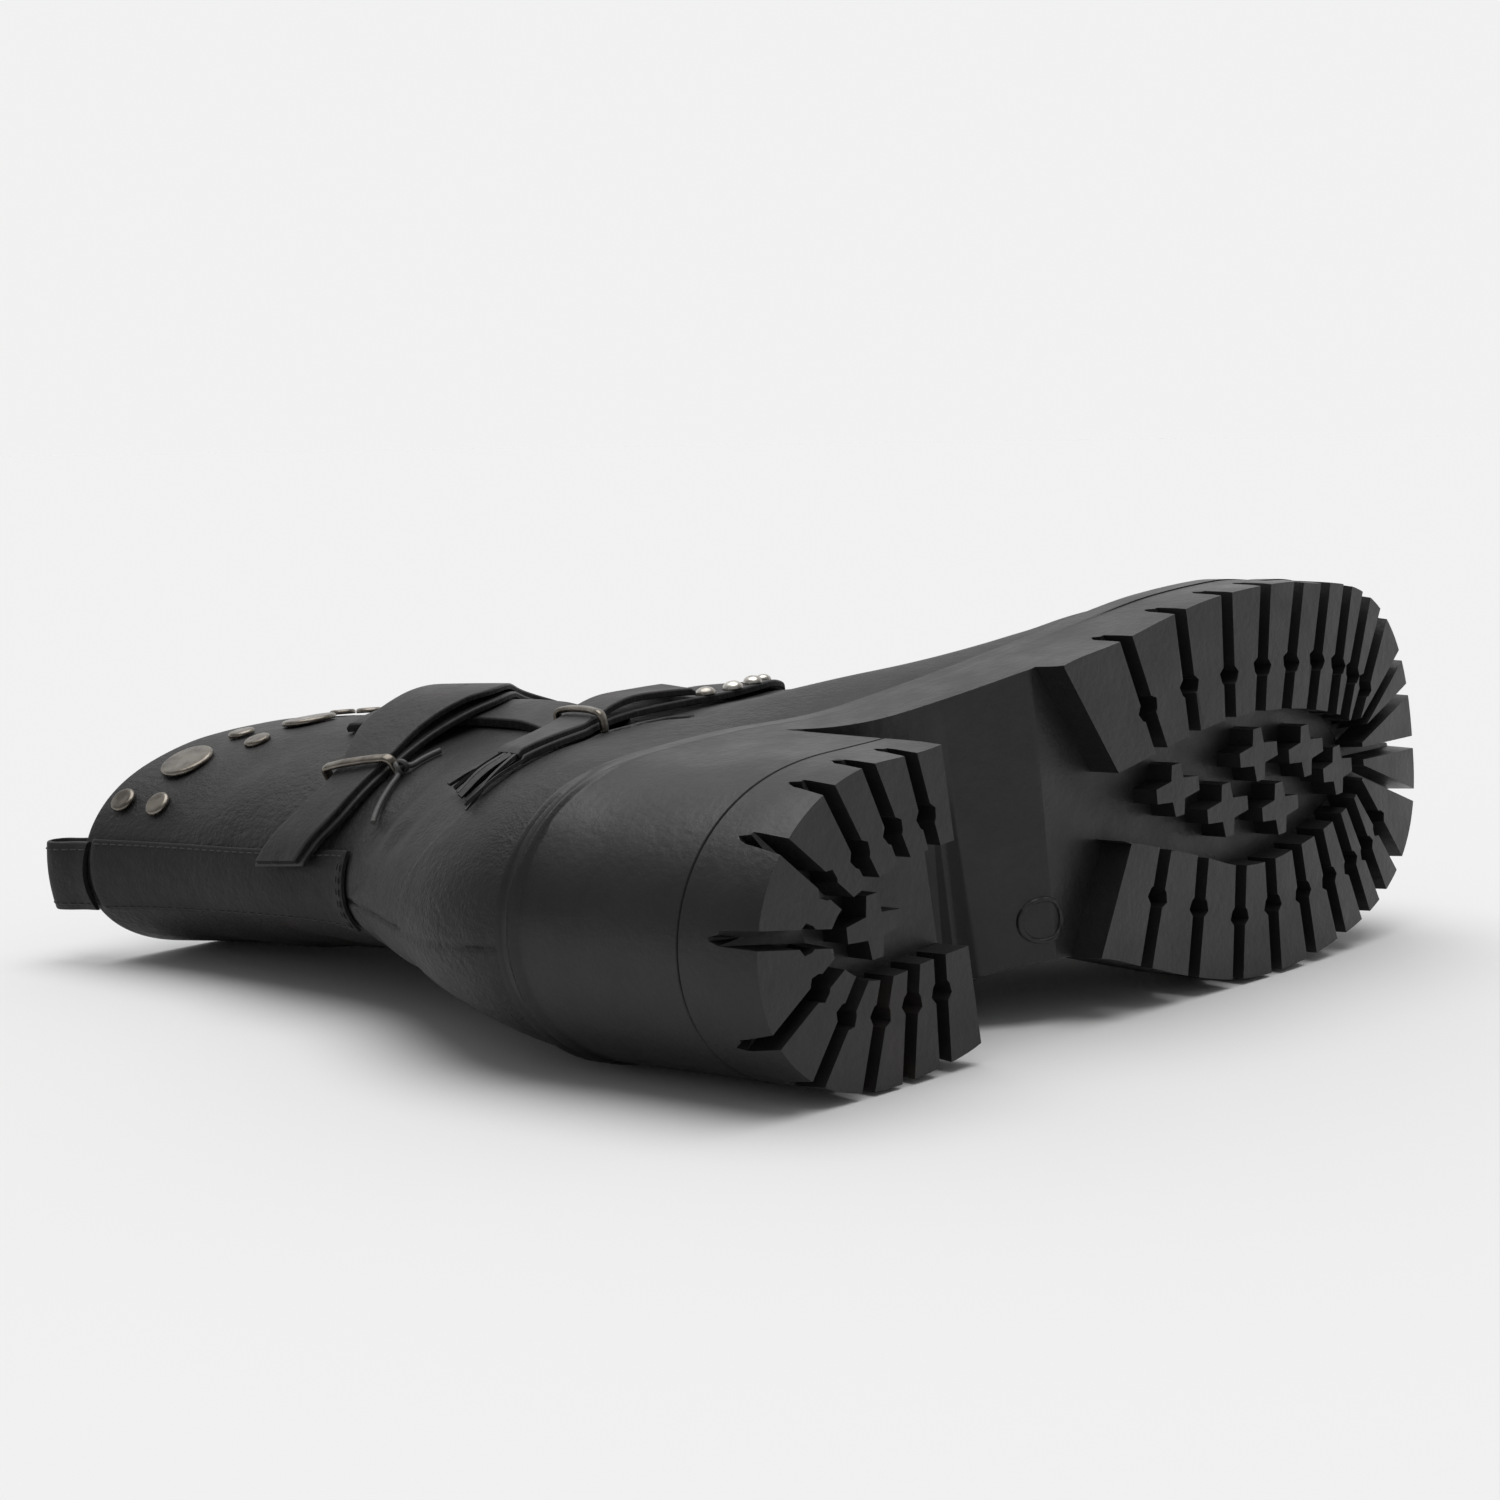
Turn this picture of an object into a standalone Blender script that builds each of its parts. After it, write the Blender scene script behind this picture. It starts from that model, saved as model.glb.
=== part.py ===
"""Biker ankle boot, right foot, lying on its inner side.

Boot frame: X from the back of the heel to the toe, Y to the wearer's left (the
inner side of a right boot), Z up from the tread. Tables are in millimetres.
An empty turns the upright boot onto its inner side, where ball, heel and collar
touch the ground.
"""
import math

import bmesh
import bpy
from mathutils import Matrix, Vector

MM = 0.001
GAP = 0.3                   # clearance between pieces that touch
SEAT_GAP = 0.5              # the same over the curved top of the sole
OUTER, INNER = -1, 1        # sides of a right boot along Y
# Up from the ground in the boot frame: the boot lies on the inner side of its heel,
# ball and collar
LYING_UP = (0.0810, -0.9957, -0.0449)

# Sole unit
SOLE_TIP = 255.4            # toe end of the tread
HEEL_BACK = 13.5            # back end of the heel's tread
HEEL_ARC, TOE_ARC = 40.0, 60.0
HEEL_TREAD_SHIFT = 4.5      # back end of the tread, towards the inner side
TOE_SWING = 7.0             # toe end, towards the inner side
HEEL_POWER, TOE_POWER = 2.05, 2.5
SPRING_START, TOE_SPRING = 175.0, 4.7
RAND_HEIGHT, RAND_STEP = 4.2, 1.0       # moulded lip round the back of the heel
RAND_FULL_TO, RAND_GONE_AT = 14.0, 36.0 # it sinks into the wall between these
BREAST_SKEW = 0.067         # the heel breast runs forward towards the inner side
LUG_DEPTH = 7.5
MOUTH_DEPTH = 9.5           # a groove rises to a point where it meets the side
GROOVE_WIDTH = 4.8
CUT_BELOW = 3.0             # how far cutters reach below the tread

# Upright side of the sole: share of the height, share of the way out to the feather
WALL_LEVELS = (
    (0.00, 0.00),
    (0.10, 0.18),
    (0.30, 0.36),
)

TREAD_COLUMNS = ("x", "outer", "inner")
TREAD = (
    (10.0, 29.0, 37.0),
    (45.0, 28.8, 34.8),
    (71.0, 28.6, 33.6),
    (92.0, 33.0, 27.4),
    (112.0, 37.6, 25.2),
    (132.0, 39.4, 32.0),
    (149.0, 41.8, 38.4),
    (165.0, 43.4, 43.0),
    (181.0, 43.6, 45.2),
    (197.0, 42.8, 45.3),
    (212.0, 41.2, 44.6),
    (256.2, 44.0, 44.6),
)
FEATHER_COLUMNS = ("x", "outer", "inner", "z")
FEATHER = (
    (0.0, 31.0, 30.4, 56.0),
    (30.0, 30.8, 32.0, 54.4),
    (60.0, 31.7, 31.8, 50.2),
    (81.0, 31.7, 28.2, 43.5),
    (100.0, 34.3, 25.9, 36.8),
    (115.0, 37.0, 26.9, 31.2),
    (133.0, 40.2, 32.2, 25.8),
    (150.0, 43.0, 38.6, 22.4),
    (165.0, 44.5, 43.4, 20.6),
    (190.0, 44.4, 45.6, 20.0),
    (212.0, 42.2, 44.8, 21.0),
    (256.0, 47.0, 44.4, 25.5),
)
# Underside of the waist, from the top of the breast to the forefoot
WAIST_COLUMNS = ("x", "z")
WAIST = (
    (68.5, 38.0),
    (74.0, 31.0),
    (82.0, 24.6),
    (95.0, 16.8),
    (104.0, 11.2),
    (110.0, 7.5),
)
# Hollow between the lugs, from the waist to the toe, and the same in the heel
HOLLOW_COLUMNS = ("x", "outer", "inner")
FOREFOOT_HOLLOW = (
    (127.0, -11.8, 3.0),
    (140.0, -13.3, 7.2),
    (155.0, -15.0, 12.4),
    (169.0, -15.8, 17.6),
    (182.0, -15.3, 19.2),
    (193.0, -14.0, 18.6),
    (204.0, -12.0, 17.3),
    (214.0, -9.3, 15.2),
    (222.0, -6.2, 12.6),
    (227.5, -0.5, 8.0),
)
HEEL_HOLLOW = (
    (34.0, 0.0, 5.0),
    (37.5, -3.2, 9.0),
    (44.0, -5.6, 12.4),
    (52.0, -7.4, 13.0),
    (60.0, -8.8, 12.6),
    (84.0, -9.4, 12.6),
)
# Rear faces of the first lugs: slope and where they start, each side
STEP_COLUMNS = ("side", "root_x", "root_y", "rim_x", "rim_y")
FIRST_LUG_FACES = (
    (OUTER, 127.0, -11.8, 111.0, -37.5),
    (INNER, 129.5, 4.1, 115.5, 26.2),
)
# Grooves between lugs along the sides: x where they meet the side and the hollow
SIDE_GROOVE_COLUMNS = ("side", "rim_x", "root_x")
SIDE_GROOVES = (
    (OUTER, 133.4, 143.0),
    (OUTER, 153.8, 156.0),
    (OUTER, 172.0, 170.0),
    (OUTER, 188.0, 182.0),
    (OUTER, 202.5, 193.0),
    (OUTER, 214.8, 204.0),
    (OUTER, 225.6, 213.5),
    (OUTER, 235.0, 219.5),
    (OUTER, 243.5, 224.0),
    (INNER, 131.2, 141.6),
    (INNER, 148.2, 155.4),
    (INNER, 165.2, 169.8),
    (INNER, 181.0, 181.6),
    (INNER, 196.6, 193.2),
    (INNER, 211.0, 203.5),
    (INNER, 223.6, 212.4),
    (INNER, 233.2, 219.5),
    (INNER, 243.4, 224.5),
)
# Grooves through the toe: y where they meet the tip and the hollow
TOE_GROOVE_COLUMNS = ("rim_y", "root_y")
TOE_GROOVES = (
    (-17.0, -3.6),
    (-8.0, -1.2),
    (5.5, 3.0),
    (18.7, 7.6),
)
# Grooves of the heel: point on the side, point on the hollow
HEEL_GROOVE_COLUMNS = ("rim_x", "rim_y", "root_x", "root_y")
HEEL_GROOVES = (
    (60.9, -29.2, 65.5, -9.0),
    (48.8, -28.3, 56.4, -8.4),
    (37.4, -25.7, 47.2, -6.0),
    (23.6, -18.4, 39.4, -3.8),
    (12.5, -3.0, 34.5, 1.8),
    (15.6, 17.6, 36.0, 6.6),
    (25.0, 29.6, 41.0, 11.5),
    (39.4, 34.4, 48.2, 12.8),
    (51.4, 34.8, 56.2, 12.6),
    (62.8, 34.6, 64.0, 12.6),
)
HEEL_GROOVE_WIDTH = 4.0
# Cross-shaped studs in the hollows
CROSS_COLUMNS = ("x", "y", "length", "width")
CROSSES = (
    (47.5, 2.6, 16.0, 12.6),
    (149.6, -3.6, 16.0, 11.5),
    (168.0, 4.6, 16.0, 12.0),
    (189.4, 8.6, 15.5, 12.0),
    (182.0, -5.4, 15.5, 12.0),
    (202.4, -2.4, 15.5, 12.0),
    (216.6, 5.0, 14.0, 11.5),
)
CROSS_ARM = 4.6
CROSS_TOP = 1.2             # below the tread

# Upper: one row for each section, from the feather line to the collar.
# Each section runs from the back of the heel to the toe or the front of the leg.
SECTION_COLUMNS = (
    "back_x", "back_z", "front_x", "front_z",
    "heel_out", "waist_out", "ball_out", "heel_in", "waist_in", "ball_in",
    "heel_arc", "toe_arc", "sag", "hug",
)
SECTIONS = (
    (1.8, 56.0, 253.4, 25.2, 29.0, 34.0, 40.0, 28.6, 25.6, 42.0, 38, 58, 1.00, 1.00),
    (0.0, 64.0, 254.8, 34.0, 29.2, 36.0, 40.0, 27.6, 26.6, 42.0, 39, 59, 1.00, 0.50),
    (0.2, 75.0, 252.4, 46.0, 29.2, 35.5, 39.0, 25.4, 27.0, 40.2, 43, 61, 0.97, 0.20),
    (2.6, 86.0, 244.0, 57.0, 28.8, 33.3, 35.4, 23.8, 27.0, 37.4, 46, 65, 0.90, 0.00),
    (5.8, 97.5, 228.0, 67.0, 28.4, 30.9, 30.4, 22.8, 26.8, 34.2, 48, 71, 0.80, 0.00),
    (10.2, 108.5, 205.0, 77.0, 28.2, 29.3, 28.4, 21.6, 26.6, 32.2, 48, 75, 0.62, 0.00),
    (14.8, 119.5, 180.0, 88.5, 28.2, 29.8, 28.2, 21.2, 26.6, 31.2, 46, 74, 0.42, 0.00),
    (18.8, 130.5, 156.0, 103.0, 28.2, 30.2, 27.8, 21.0, 26.6, 30.6, 46, 66, 0.24, 0.00),
    (19.4, 142.0, 138.0, 121.5, 28.6, 30.6, 28.0, 21.2, 26.2, 29.4, 48, 56, 0.10, 0.00),
    (18.4, 156.0, 126.0, 143.0, 28.8, 30.4, 28.0, 22.0, 25.8, 28.2, 50, 50, 0.03, 0.00),
    (17.2, 172.0, 120.0, 166.0, 28.6, 29.8, 27.8, 23.0, 25.6, 27.6, 50, 48, 0.00, 0.00),
    (15.8, 189.0, 118.0, 187.0, 27.8, 29.0, 28.2, 23.8, 25.6, 27.4, 47, 48, 0.00, 0.00),
    (13.4, 206.0, 118.4, 206.0, 26.8, 27.6, 27.4, 24.0, 25.8, 27.4, 44, 50, 0.00, 0.00),
    (10.2, 221.0, 120.0, 222.0, 25.8, 26.8, 26.6, 24.2, 26.0, 27.2, 40, 52, 0.00, 0.00),
)
FEATHER_MARGIN = 2.0        # the upper stands in from the feather edge by this
SECTION_STATIONS = (0.20, 0.46, 0.76)   # heel, waist and ball along a section
SECTION_POWER = 2.05
RINGS = 17
HEEL_STEPS, WAIST_STEPS, TOE_STEPS = 6, 11, 7
UPPER_WALL = 2.0

INSOLE_THICKNESS = 3.0
INSOLE_INSET = 5.2

# Places on the upper: level 0 is the feather and 1 the collar. Turn 0 is the back
# seam and 1 the middle of the front, by the outer side; -1 to 0 is the inner side.
# A strap's low edge is the one nearer the sole; lifts are clearances over the upper.
STRAP_COLUMNS = ("low_turn", "low_level", "high_turn", "high_level", "low_lift", "high_lift")
ANKLE_STRAP = (
    (0.049, 0.606, 0.045, 0.698, 3.0, 3.0),
    (0.090, 0.588, 0.095, 0.684, 2.2, 2.2),
    (0.150, 0.566, 0.165, 0.664, 0.9, 0.9),
    (0.250, 0.572, 0.242, 0.660, 0.6, 0.8),
    (0.332, 0.584, 0.340, 0.690, 1.8, 2.4),
    (0.385, 0.582, 0.420, 0.698, 3.1, 3.6),
    (0.448, 0.600, 0.510, 0.716, 3.2, 3.4),
    (0.600, 0.684, 0.630, 0.742, 2.2, 1.8),
    (0.740, 0.700, 0.760, 0.762, 0.9, 0.9),
    (0.900, 0.712, 0.900, 0.770, 0.9, 0.9),
    (1.100, 0.712, 1.100, 0.770, 0.9, 0.9),
    (1.260, 0.700, 1.240, 0.762, 0.9, 0.9),
    (1.400, 0.680, 1.370, 0.748, 0.9, 0.9),
    (1.500, 0.665, 1.480, 0.738, 0.9, 0.9),
)
ANKLE_LAYER = 1.5           # the strap is two layers, the top one narrower and shorter
LAYER_STEP = 0.09           # share of the strap's width left bare beside the top layer
INSTEP_STRAP = (
    (0.222, 0.180, 0.232, 0.262, 1.7, 1.7),
    (0.262, 0.196, 0.272, 0.285, 1.7, 1.7),
    (0.300, 0.236, 0.310, 0.336, 1.7, 1.7),
    (0.325, 0.272, 0.345, 0.384, 1.7, 1.7),
    (0.370, 0.316, 0.395, 0.424, 1.7, 1.7),
    (0.420, 0.348, 0.455, 0.448, 1.2, 1.3),
    (0.466, 0.372, 0.520, 0.472, 0.8, 1.2),
    (0.530, 0.412, 0.600, 0.502, 0.9, 1.2),
    (0.622, 0.470, 0.685, 0.552, 1.0, 1.1),
    (0.750, 0.542, 0.790, 0.598, 0.9, 0.9),
    (1.000, 0.572, 1.000, 0.616, 0.9, 0.9),
    (1.150, 0.565, 1.150, 0.610, 0.9, 0.9),
    (1.280, 0.535, 1.270, 0.592, 0.9, 0.9),
    (1.390, 0.490, 1.360, 0.560, 0.9, 0.9),
    (1.470, 0.450, 1.430, 0.525, 0.9, 0.9),
    (1.540, 0.420, 1.490, 0.500, 0.9, 0.9),
)
INSTEP_LAYER = 1.7
LAYER_BITE = 0.3            # the two layers of the instep strap are fused by this much
# The top layer of the instep strap stands off the lower one past its keeper
ARCH_COLUMNS = ("row", "gap")
ARCH = (
    (0.0, 0.0),
    (3.0, 0.0),
    (3.5, 1.1),
    (4.1, 1.8),
    (4.8, 1.4),
    (5.5, 0.7),
)
FRINGE_COLUMNS = ("share", "turn", "level", "lift")
FRINGE = (
    (0.10, 0.160, 0.172, 4.0),
    (0.30, 0.170, 0.205, 3.2),
    (0.50, 0.176, 0.228, 4.4),
    (0.70, 0.186, 0.256, 3.6),
    (0.90, 0.190, 0.288, 4.2),
)
THONG_WIDTH = 2.0
# Keepers: row of the strap they sit on, width and thickness of the metal
ANKLE_KEEPER_ROW, INSTEP_KEEPER_ROW = 2.98, 3.0
KEEPER_WIDTH, KEEPER_THICKNESS = 2.8, 1.4
# Vertical band under both straps, from its top end down
HARNESS_BAND = (
    (0.400, 0.758, 0.508, 0.762, 0.3, 0.3),
    (0.397, 0.700, 0.506, 0.708, 0.3, 0.3),
    (0.398, 0.640, 0.500, 0.656, 0.3, 0.3),
    (0.393, 0.584, 0.490, 0.604, 0.3, 0.3),
    (0.374, 0.512, 0.462, 0.544, 0.3, 0.3),
    (0.354, 0.436, 0.430, 0.468, 0.3, 0.3),
    (0.343, 0.376, 0.411, 0.400, 0.3, 0.3),
)
BAND_THICKNESS = 2.4
BAND_SKIVED = 0.9           # its lower end is pared to this, under the instep strap
# Strip up the back seam, from its lower end to the collar
BACKSTAY = (
    (-0.090, 0.515, 0.083, 0.515, 0.5, 0.5),
    (-0.092, 0.640, 0.083, 0.640, 0.5, 0.5),
    (-0.093, 0.780, 0.083, 0.780, 0.5, 0.5),
    (-0.094, 0.900, 0.083, 0.900, 0.5, 0.5),
    (-0.095, 0.985, 0.083, 0.985, 0.5, 0.5),
)
BACKSTAY_THICKNESS = 1.2
# Pull loop: a strip folded over the collar, seen from the side; the bow bends it
# across its width to fit the curve of the collar (depth at 8 mm from the back seam)
LOOP_COLUMNS = ("x", "z", "bow")
LOOP = (
    (9.8, 220.4, 2.2),
    (9.2, 224.4, 2.0),
    (8.2, 229.0, 1.3),
    (8.0, 232.4, 0.9),
    (9.6, 234.2, 0.7),
    (11.4, 232.2, 0.9),
    (12.0, 227.6, 1.4),
    (12.8, 223.2, 2.3),
    (13.5, 219.4, 2.5),
    (16.4, 207.0, 2.5),
)
LOOP_HALF_WIDTH, LOOP_THICKNESS = 8.4, 1.2
LOOP_SHIFT = 0.7            # towards the inner side
# Heel counter: its free edge round the heel, from the outer side to the inner
COUNTER_COLUMNS = ("turn", "bottom_level", "top_level")
COUNTER = (
    (0.366, 0.205, 0.250),
    (0.357, 0.135, 0.266),
    (0.343, 0.050, 0.268),
    (0.322, 0.012, 0.262),
    (0.285, 0.012, 0.222),
    (0.225, 0.012, 0.192),
    (0.160, 0.012, 0.190),
    (0.080, 0.012, 0.240),
    (0.000, 0.012, 0.262),
    (-0.080, 0.012, 0.240),
    (-0.160, 0.012, 0.200),
    (-0.225, 0.012, 0.200),
    (-0.285, 0.012, 0.210),
    (-0.330, 0.020, 0.200),
    (-0.350, 0.110, 0.160),
)
COUNTER_GAP, COUNTER_THICKNESS = 0.4, 0.9
# Metal discs round the collar, and domes along the instep strap past its top layer
DISC_COLUMNS = ("level", "turn", "radius")
DISCS = (
    (0.968, 0.180, 3.3),
    (0.908, 0.175, 3.3),
    (0.930, 0.295, 6.7),
    (0.928, 0.405, 3.3),
    (0.872, 0.370, 3.3),
    (0.872, 0.470, 6.7),
    (0.905, 0.570, 3.3),
    (0.852, 0.560, 3.3),
)
DISC_THICKNESS = 1.2
DOME_COLUMNS = ("row", "share", "radius", "height")
DOMES = (
    (5.78, 0.16, 2.4, 1.6),
    (6.42, 0.16, 2.4, 1.6),
    (6.95, 0.20, 2.2, 1.5),
    (7.50, 0.30, 2.0, 1.4),
)
# Thong tied round the ankle strap's keeper, end to end
THONG_COLUMNS = ("turn", "level", "lift")
KEEPER_THONG = (
    (0.296, 0.534, 1.1),
    (0.274, 0.538, 1.1),
    (0.256, 0.538, 1.2),
    (0.250, 0.544, 1.9),
    (0.240, 0.545, 1.9),
    (0.228, 0.534, 1.2),
    (0.202, 0.518, 1.1),
    (0.164, 0.490, 1.1),
    (0.134, 0.466, 1.1),
)
THONG_RADIUS = 0.65


def smooth(share):
    """Ease from 0 to 1 with level ends."""
    share = min(max(share, 0.0), 1.0)
    return share * share * (3.0 - 2.0 * share)


def through(xs, ys, x):
    """Value at x of a smooth curve through the points (cubic, slopes from neighbours)."""
    last = len(xs) - 1
    if x <= xs[0]:
        return ys[0]
    if x >= xs[last]:
        return ys[last]
    k = max(i for i in range(last) if xs[i] <= x)

    def slope(i):
        low, high = max(i - 1, 0), min(i + 1, last)
        return (ys[high] - ys[low]) / (xs[high] - xs[low])

    span = xs[k + 1] - xs[k]
    t = (x - xs[k]) / span
    a, b = ys[k], ys[k + 1]
    return (a * (1 + 2 * t) * (1 - t) ** 2 + b * t * t * (3 - 2 * t)
            + span * (slope(k) * t * (1 - t) ** 2 - slope(k + 1) * t * t * (1 - t)))


def column(table, columns, name):
    index = columns.index(name)
    return [row[index] for row in table]


def look_up(table, columns, name, x):
    return through(column(table, columns, "x"), column(table, columns, name), x)


def end_cap(distance, arc, power):
    """Share of the full width at a distance from a round end."""
    rest = max(0.0, 1.0 - distance / arc)
    return (1.0 - rest ** power) ** (1.0 / power)


def stations(length, heel_arc, toe_arc, heel_steps, middle_steps, toe_steps):
    """Distances from the back end, close together where the ends are round."""
    quarter = math.pi / 2
    middle = length - heel_arc - toe_arc
    values = [heel_arc * (1 - math.cos(quarter * i / heel_steps)) for i in range(heel_steps)]
    values += [heel_arc + middle * i / middle_steps for i in range(middle_steps)]
    values += [length - toe_arc * (1 - math.sin(quarter * i / toe_steps)) for i in range(toe_steps)]
    return values + [length]


# ---------------------------------------------------------------- sole outline
def tread_outline(x, side):
    y = look_up(TREAD, TREAD_COLUMNS, "outer" if side == OUTER else "inner", x)
    heel = end_cap(x - HEEL_BACK, HEEL_ARC, HEEL_POWER)
    toe = end_cap(SOLE_TIP - x, TOE_ARC, TOE_POWER)
    return HEEL_TREAD_SHIFT * (1 - heel) + TOE_SWING * (1 - toe) + heel * toe * side * y


def feather_x(x):
    """Where the side above a tread station reaches the feather line."""
    back = max(0.0, 1 - (x - HEEL_BACK) / 50.0)
    return x - HEEL_BACK * back ** 1.5


def feather_outline(x, side):
    y = look_up(FEATHER, FEATHER_COLUMNS, "outer" if side == OUTER else "inner", x)
    heel = end_cap(x, HEEL_ARC, HEEL_POWER)
    toe = end_cap(SOLE_TIP - x, TOE_ARC, TOE_POWER)
    return TOE_SWING * (1 - toe) + heel * toe * side * y


def feather_z(x):
    return look_up(FEATHER, FEATHER_COLUMNS, "z", x)


def spring(x):
    return TOE_SPRING * max(0.0, (x - SPRING_START) / (SOLE_TIP - SPRING_START)) ** 2


def outline_normal(outline, x, side):
    """Outward direction in plan of an outline."""
    step = 0.5
    ahead, behind = outline(x + step, side), outline(x - step, side)
    tangent = Vector((2 * step, ahead - behind))
    return Vector((-tangent.y, tangent.x)).normalized() * (1 if side == INNER else -1)


# ---------------------------------------------------------------- mesh helpers
def new_object(name, mesh, group):
    item = bpy.data.objects.new(name, mesh)
    group.objects.link(item)
    return item


def mesh_from(name, bm):
    bmesh.ops.recalc_face_normals(bm, faces=bm.faces)
    mesh = bpy.data.meshes.new(name)
    bm.to_mesh(mesh)
    bm.free()
    return mesh


def add_loft(bm, rings, close_ends=True, around=True):
    """Skin rings of points, given in millimetres, in the same order."""
    rows = [[bm.verts.new(Vector(p) * MM) for p in ring] for ring in rings]
    count = len(rows[0])
    for low, high in zip(rows, rows[1:]):
        for i in range(count if around else count - 1):
            j = (i + 1) % count
            bm.faces.new((low[i], low[j], high[j], high[i]))
    if close_ends:
        bm.faces.new(list(reversed(rows[0])))
        bm.faces.new(rows[-1])
    return rows


def add_prism(bm, outline, low, high):
    add_loft(bm, [[(x, y, low) for x, y in outline], [(x, y, high) for x, y in outline]])


def as_cutter(name, bm, group):
    item = new_object(name, mesh_from(name, bm), group)
    item.hide_render = True
    item.display_type = "WIRE"
    return item


def cut(item, cutter, operation="DIFFERENCE"):
    step = item.modifiers.new(cutter.name, "BOOLEAN")
    step.operation = operation
    step.object = cutter
    step.solver = "EXACT"
    step.use_self = True    # neighbouring grooves of one cutter overlap


def evaluated_mesh(item):
    bpy.context.view_layer.update()
    graph = bpy.context.evaluated_depsgraph_get()
    return bpy.data.meshes.new_from_object(item.evaluated_get(graph))


def paint(item, name, colour, roughness, metallic=0.0):
    material = bpy.data.materials.get(name) or bpy.data.materials.new(name)
    material.use_nodes = True
    shader = material.node_tree.nodes["Principled BSDF"]
    shader.inputs["Base Color"].default_value = (*colour, 1.0)
    shader.inputs["Roughness"].default_value = roughness
    shader.inputs["Metallic"].default_value = metallic
    item.data.materials.clear()
    item.data.materials.append(material)


# ---------------------------------------------------------------- sole unit
def sole_stations():
    length = SOLE_TIP - HEEL_BACK
    return [HEEL_BACK + s for s in stations(length, HEEL_ARC, TOE_ARC, 7, 13, 8)]


def rand_share(x):
    return 1.0 - smooth((x - RAND_FULL_TO) / (RAND_GONE_AT - RAND_FULL_TO))


def sole_ring(height_share, out_share, drop=0.0, step=0.0):
    """One level of the sole's side, as a loop: outer side forward, inner side back."""
    loop = []
    xs = sole_stations()
    for side, order in ((OUTER, xs), (INNER, xs[-2:0:-1])):
        for x in order:
            top_x = feather_x(x)
            low = Vector((x, tread_outline(x, side), 0.0))
            high = Vector((top_x, feather_outline(top_x, side), feather_z(top_x) - spring(x)))
            point = low.lerp(high, out_share)
            point.z = high.z * height_share - drop
            out = step * rand_share(top_x)
            away = outline_normal(feather_outline, min(max(top_x, 1.0), SOLE_TIP - 1.0), side)
            if top_x <= 0.0:
                away = Vector((-1.0, 0.0))
            if x >= SOLE_TIP:
                away = Vector((1.0, 0.0))
            loop.append((point.x + out * away.x, point.y + out * away.y, point.z))
    return loop


def sole_body(group):
    bm = bmesh.new()
    levels = [sole_ring(height, out) for height, out in WALL_LEVELS]
    levels.append(sole_ring(1.0, 0.96, drop=RAND_HEIGHT + 0.5 * RAND_STEP))
    levels.append(sole_ring(1.0, 1.0, drop=RAND_HEIGHT, step=RAND_STEP))
    levels.append(sole_ring(1.0, 1.0, step=RAND_STEP))
    rows = add_loft(bm, levels, close_ends=False)
    for row, flip in ((rows[0], True), (rows[-1], False)):
        count = len(row)
        pairs = [(row[i], row[(count - i) % count]) for i in range(count // 2 + 1)]
        for (a, b), (c, d) in zip(pairs, pairs[1:]):
            corners = list(dict.fromkeys((a, c, d, b)))
            bm.faces.new(reversed(corners) if flip else corners)
    return new_object("outsole", mesh_from("outsole", bm), group)


def waist_cutter(group):
    """Clears the space under the waist, between heel breast and forefoot."""
    reach = 60.0
    profile = [(72.4, -CUT_BELOW)] + list(WAIST) + [(112.0, -CUT_BELOW)]
    forward = WAIST[-1][0]
    bm = bmesh.new()
    rings = []
    for y in (-reach, reach):
        ring = []
        for x, z in profile:
            skew = BREAST_SKEW * y * max(0.0, (forward - x) / (forward - WAIST[0][0]))
            ring.append((x + skew, y, z))
        rings.append(ring)
    add_loft(bm, rings)
    return as_cutter("waist_cutter", bm, group)


def beyond(root, rim, extra):
    """Point past the rim on the line from root to rim."""
    root, rim = Vector(root), Vector(rim)
    return rim + (rim - root).normalized() * extra


def hollow_cutter(group):
    """Clears the hollow in the forefoot, open to the waist, and the one in the heel."""
    faces = {row[0]: row[1:] for row in FIRST_LUG_FACES}
    outline = [(88.0, -50.0)]
    out_root, out_rim = faces[OUTER][:2], faces[OUTER][2:]
    outline.append(tuple(beyond(out_root, out_rim, 14.0)))
    outline += [(x, outer) for x, outer, _ in FOREFOOT_HOLLOW]
    outline += [(x, inner) for x, _, inner in reversed(FOREFOOT_HOLLOW)]
    in_root, in_rim = faces[INNER][:2], faces[INNER][2:]
    outline.append(in_root)
    outline.append(tuple(beyond(in_root, in_rim, 26.0)))
    outline.append((88.0, 46.0))
    bm = bmesh.new()
    add_prism(bm, outline, -CUT_BELOW, LUG_DEPTH)
    heel = [(x, outer) for x, outer, _ in HEEL_HOLLOW]
    heel += [(x, inner) for x, _, inner in reversed(HEEL_HOLLOW)]
    add_prism(bm, heel, -CUT_BELOW, LUG_DEPTH)
    return as_cutter("hollow_cutter", bm, group)


def add_groove(bm, root, rim, width):
    """A groove from the hollow out through the side, pointed at its mouth."""
    root, rim = Vector(root), Vector(rim)
    along = (rim - root).normalized()
    across = Vector((-along.y, along.x))
    start = root - along * 3.0
    end = rim + along * 7.0
    floor = (
        (start, 0.72, LUG_DEPTH - 0.3, LUG_DEPTH),
        (rim - along * 5.0, 0.72, LUG_DEPTH - 0.3, LUG_DEPTH),
        (end, 0.72, LUG_DEPTH - 0.5, MOUTH_DEPTH + 1.4),
    )
    rings = []
    for place, narrowing, shoulder, peak in floor:
        half = width / 2
        corners = (
            (-half, -CUT_BELOW),
            (-half * narrowing, shoulder),
            (0.0, peak),
            (half * narrowing, shoulder),
            (half, -CUT_BELOW),
        )
        rings.append([(*(place + across * s), z) for s, z in corners])
    add_loft(bm, rings)


def hollow_edge(x, side):
    name = "outer" if side == OUTER else "inner"
    return look_up(FOREFOOT_HOLLOW, HOLLOW_COLUMNS, name, x)


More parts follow.
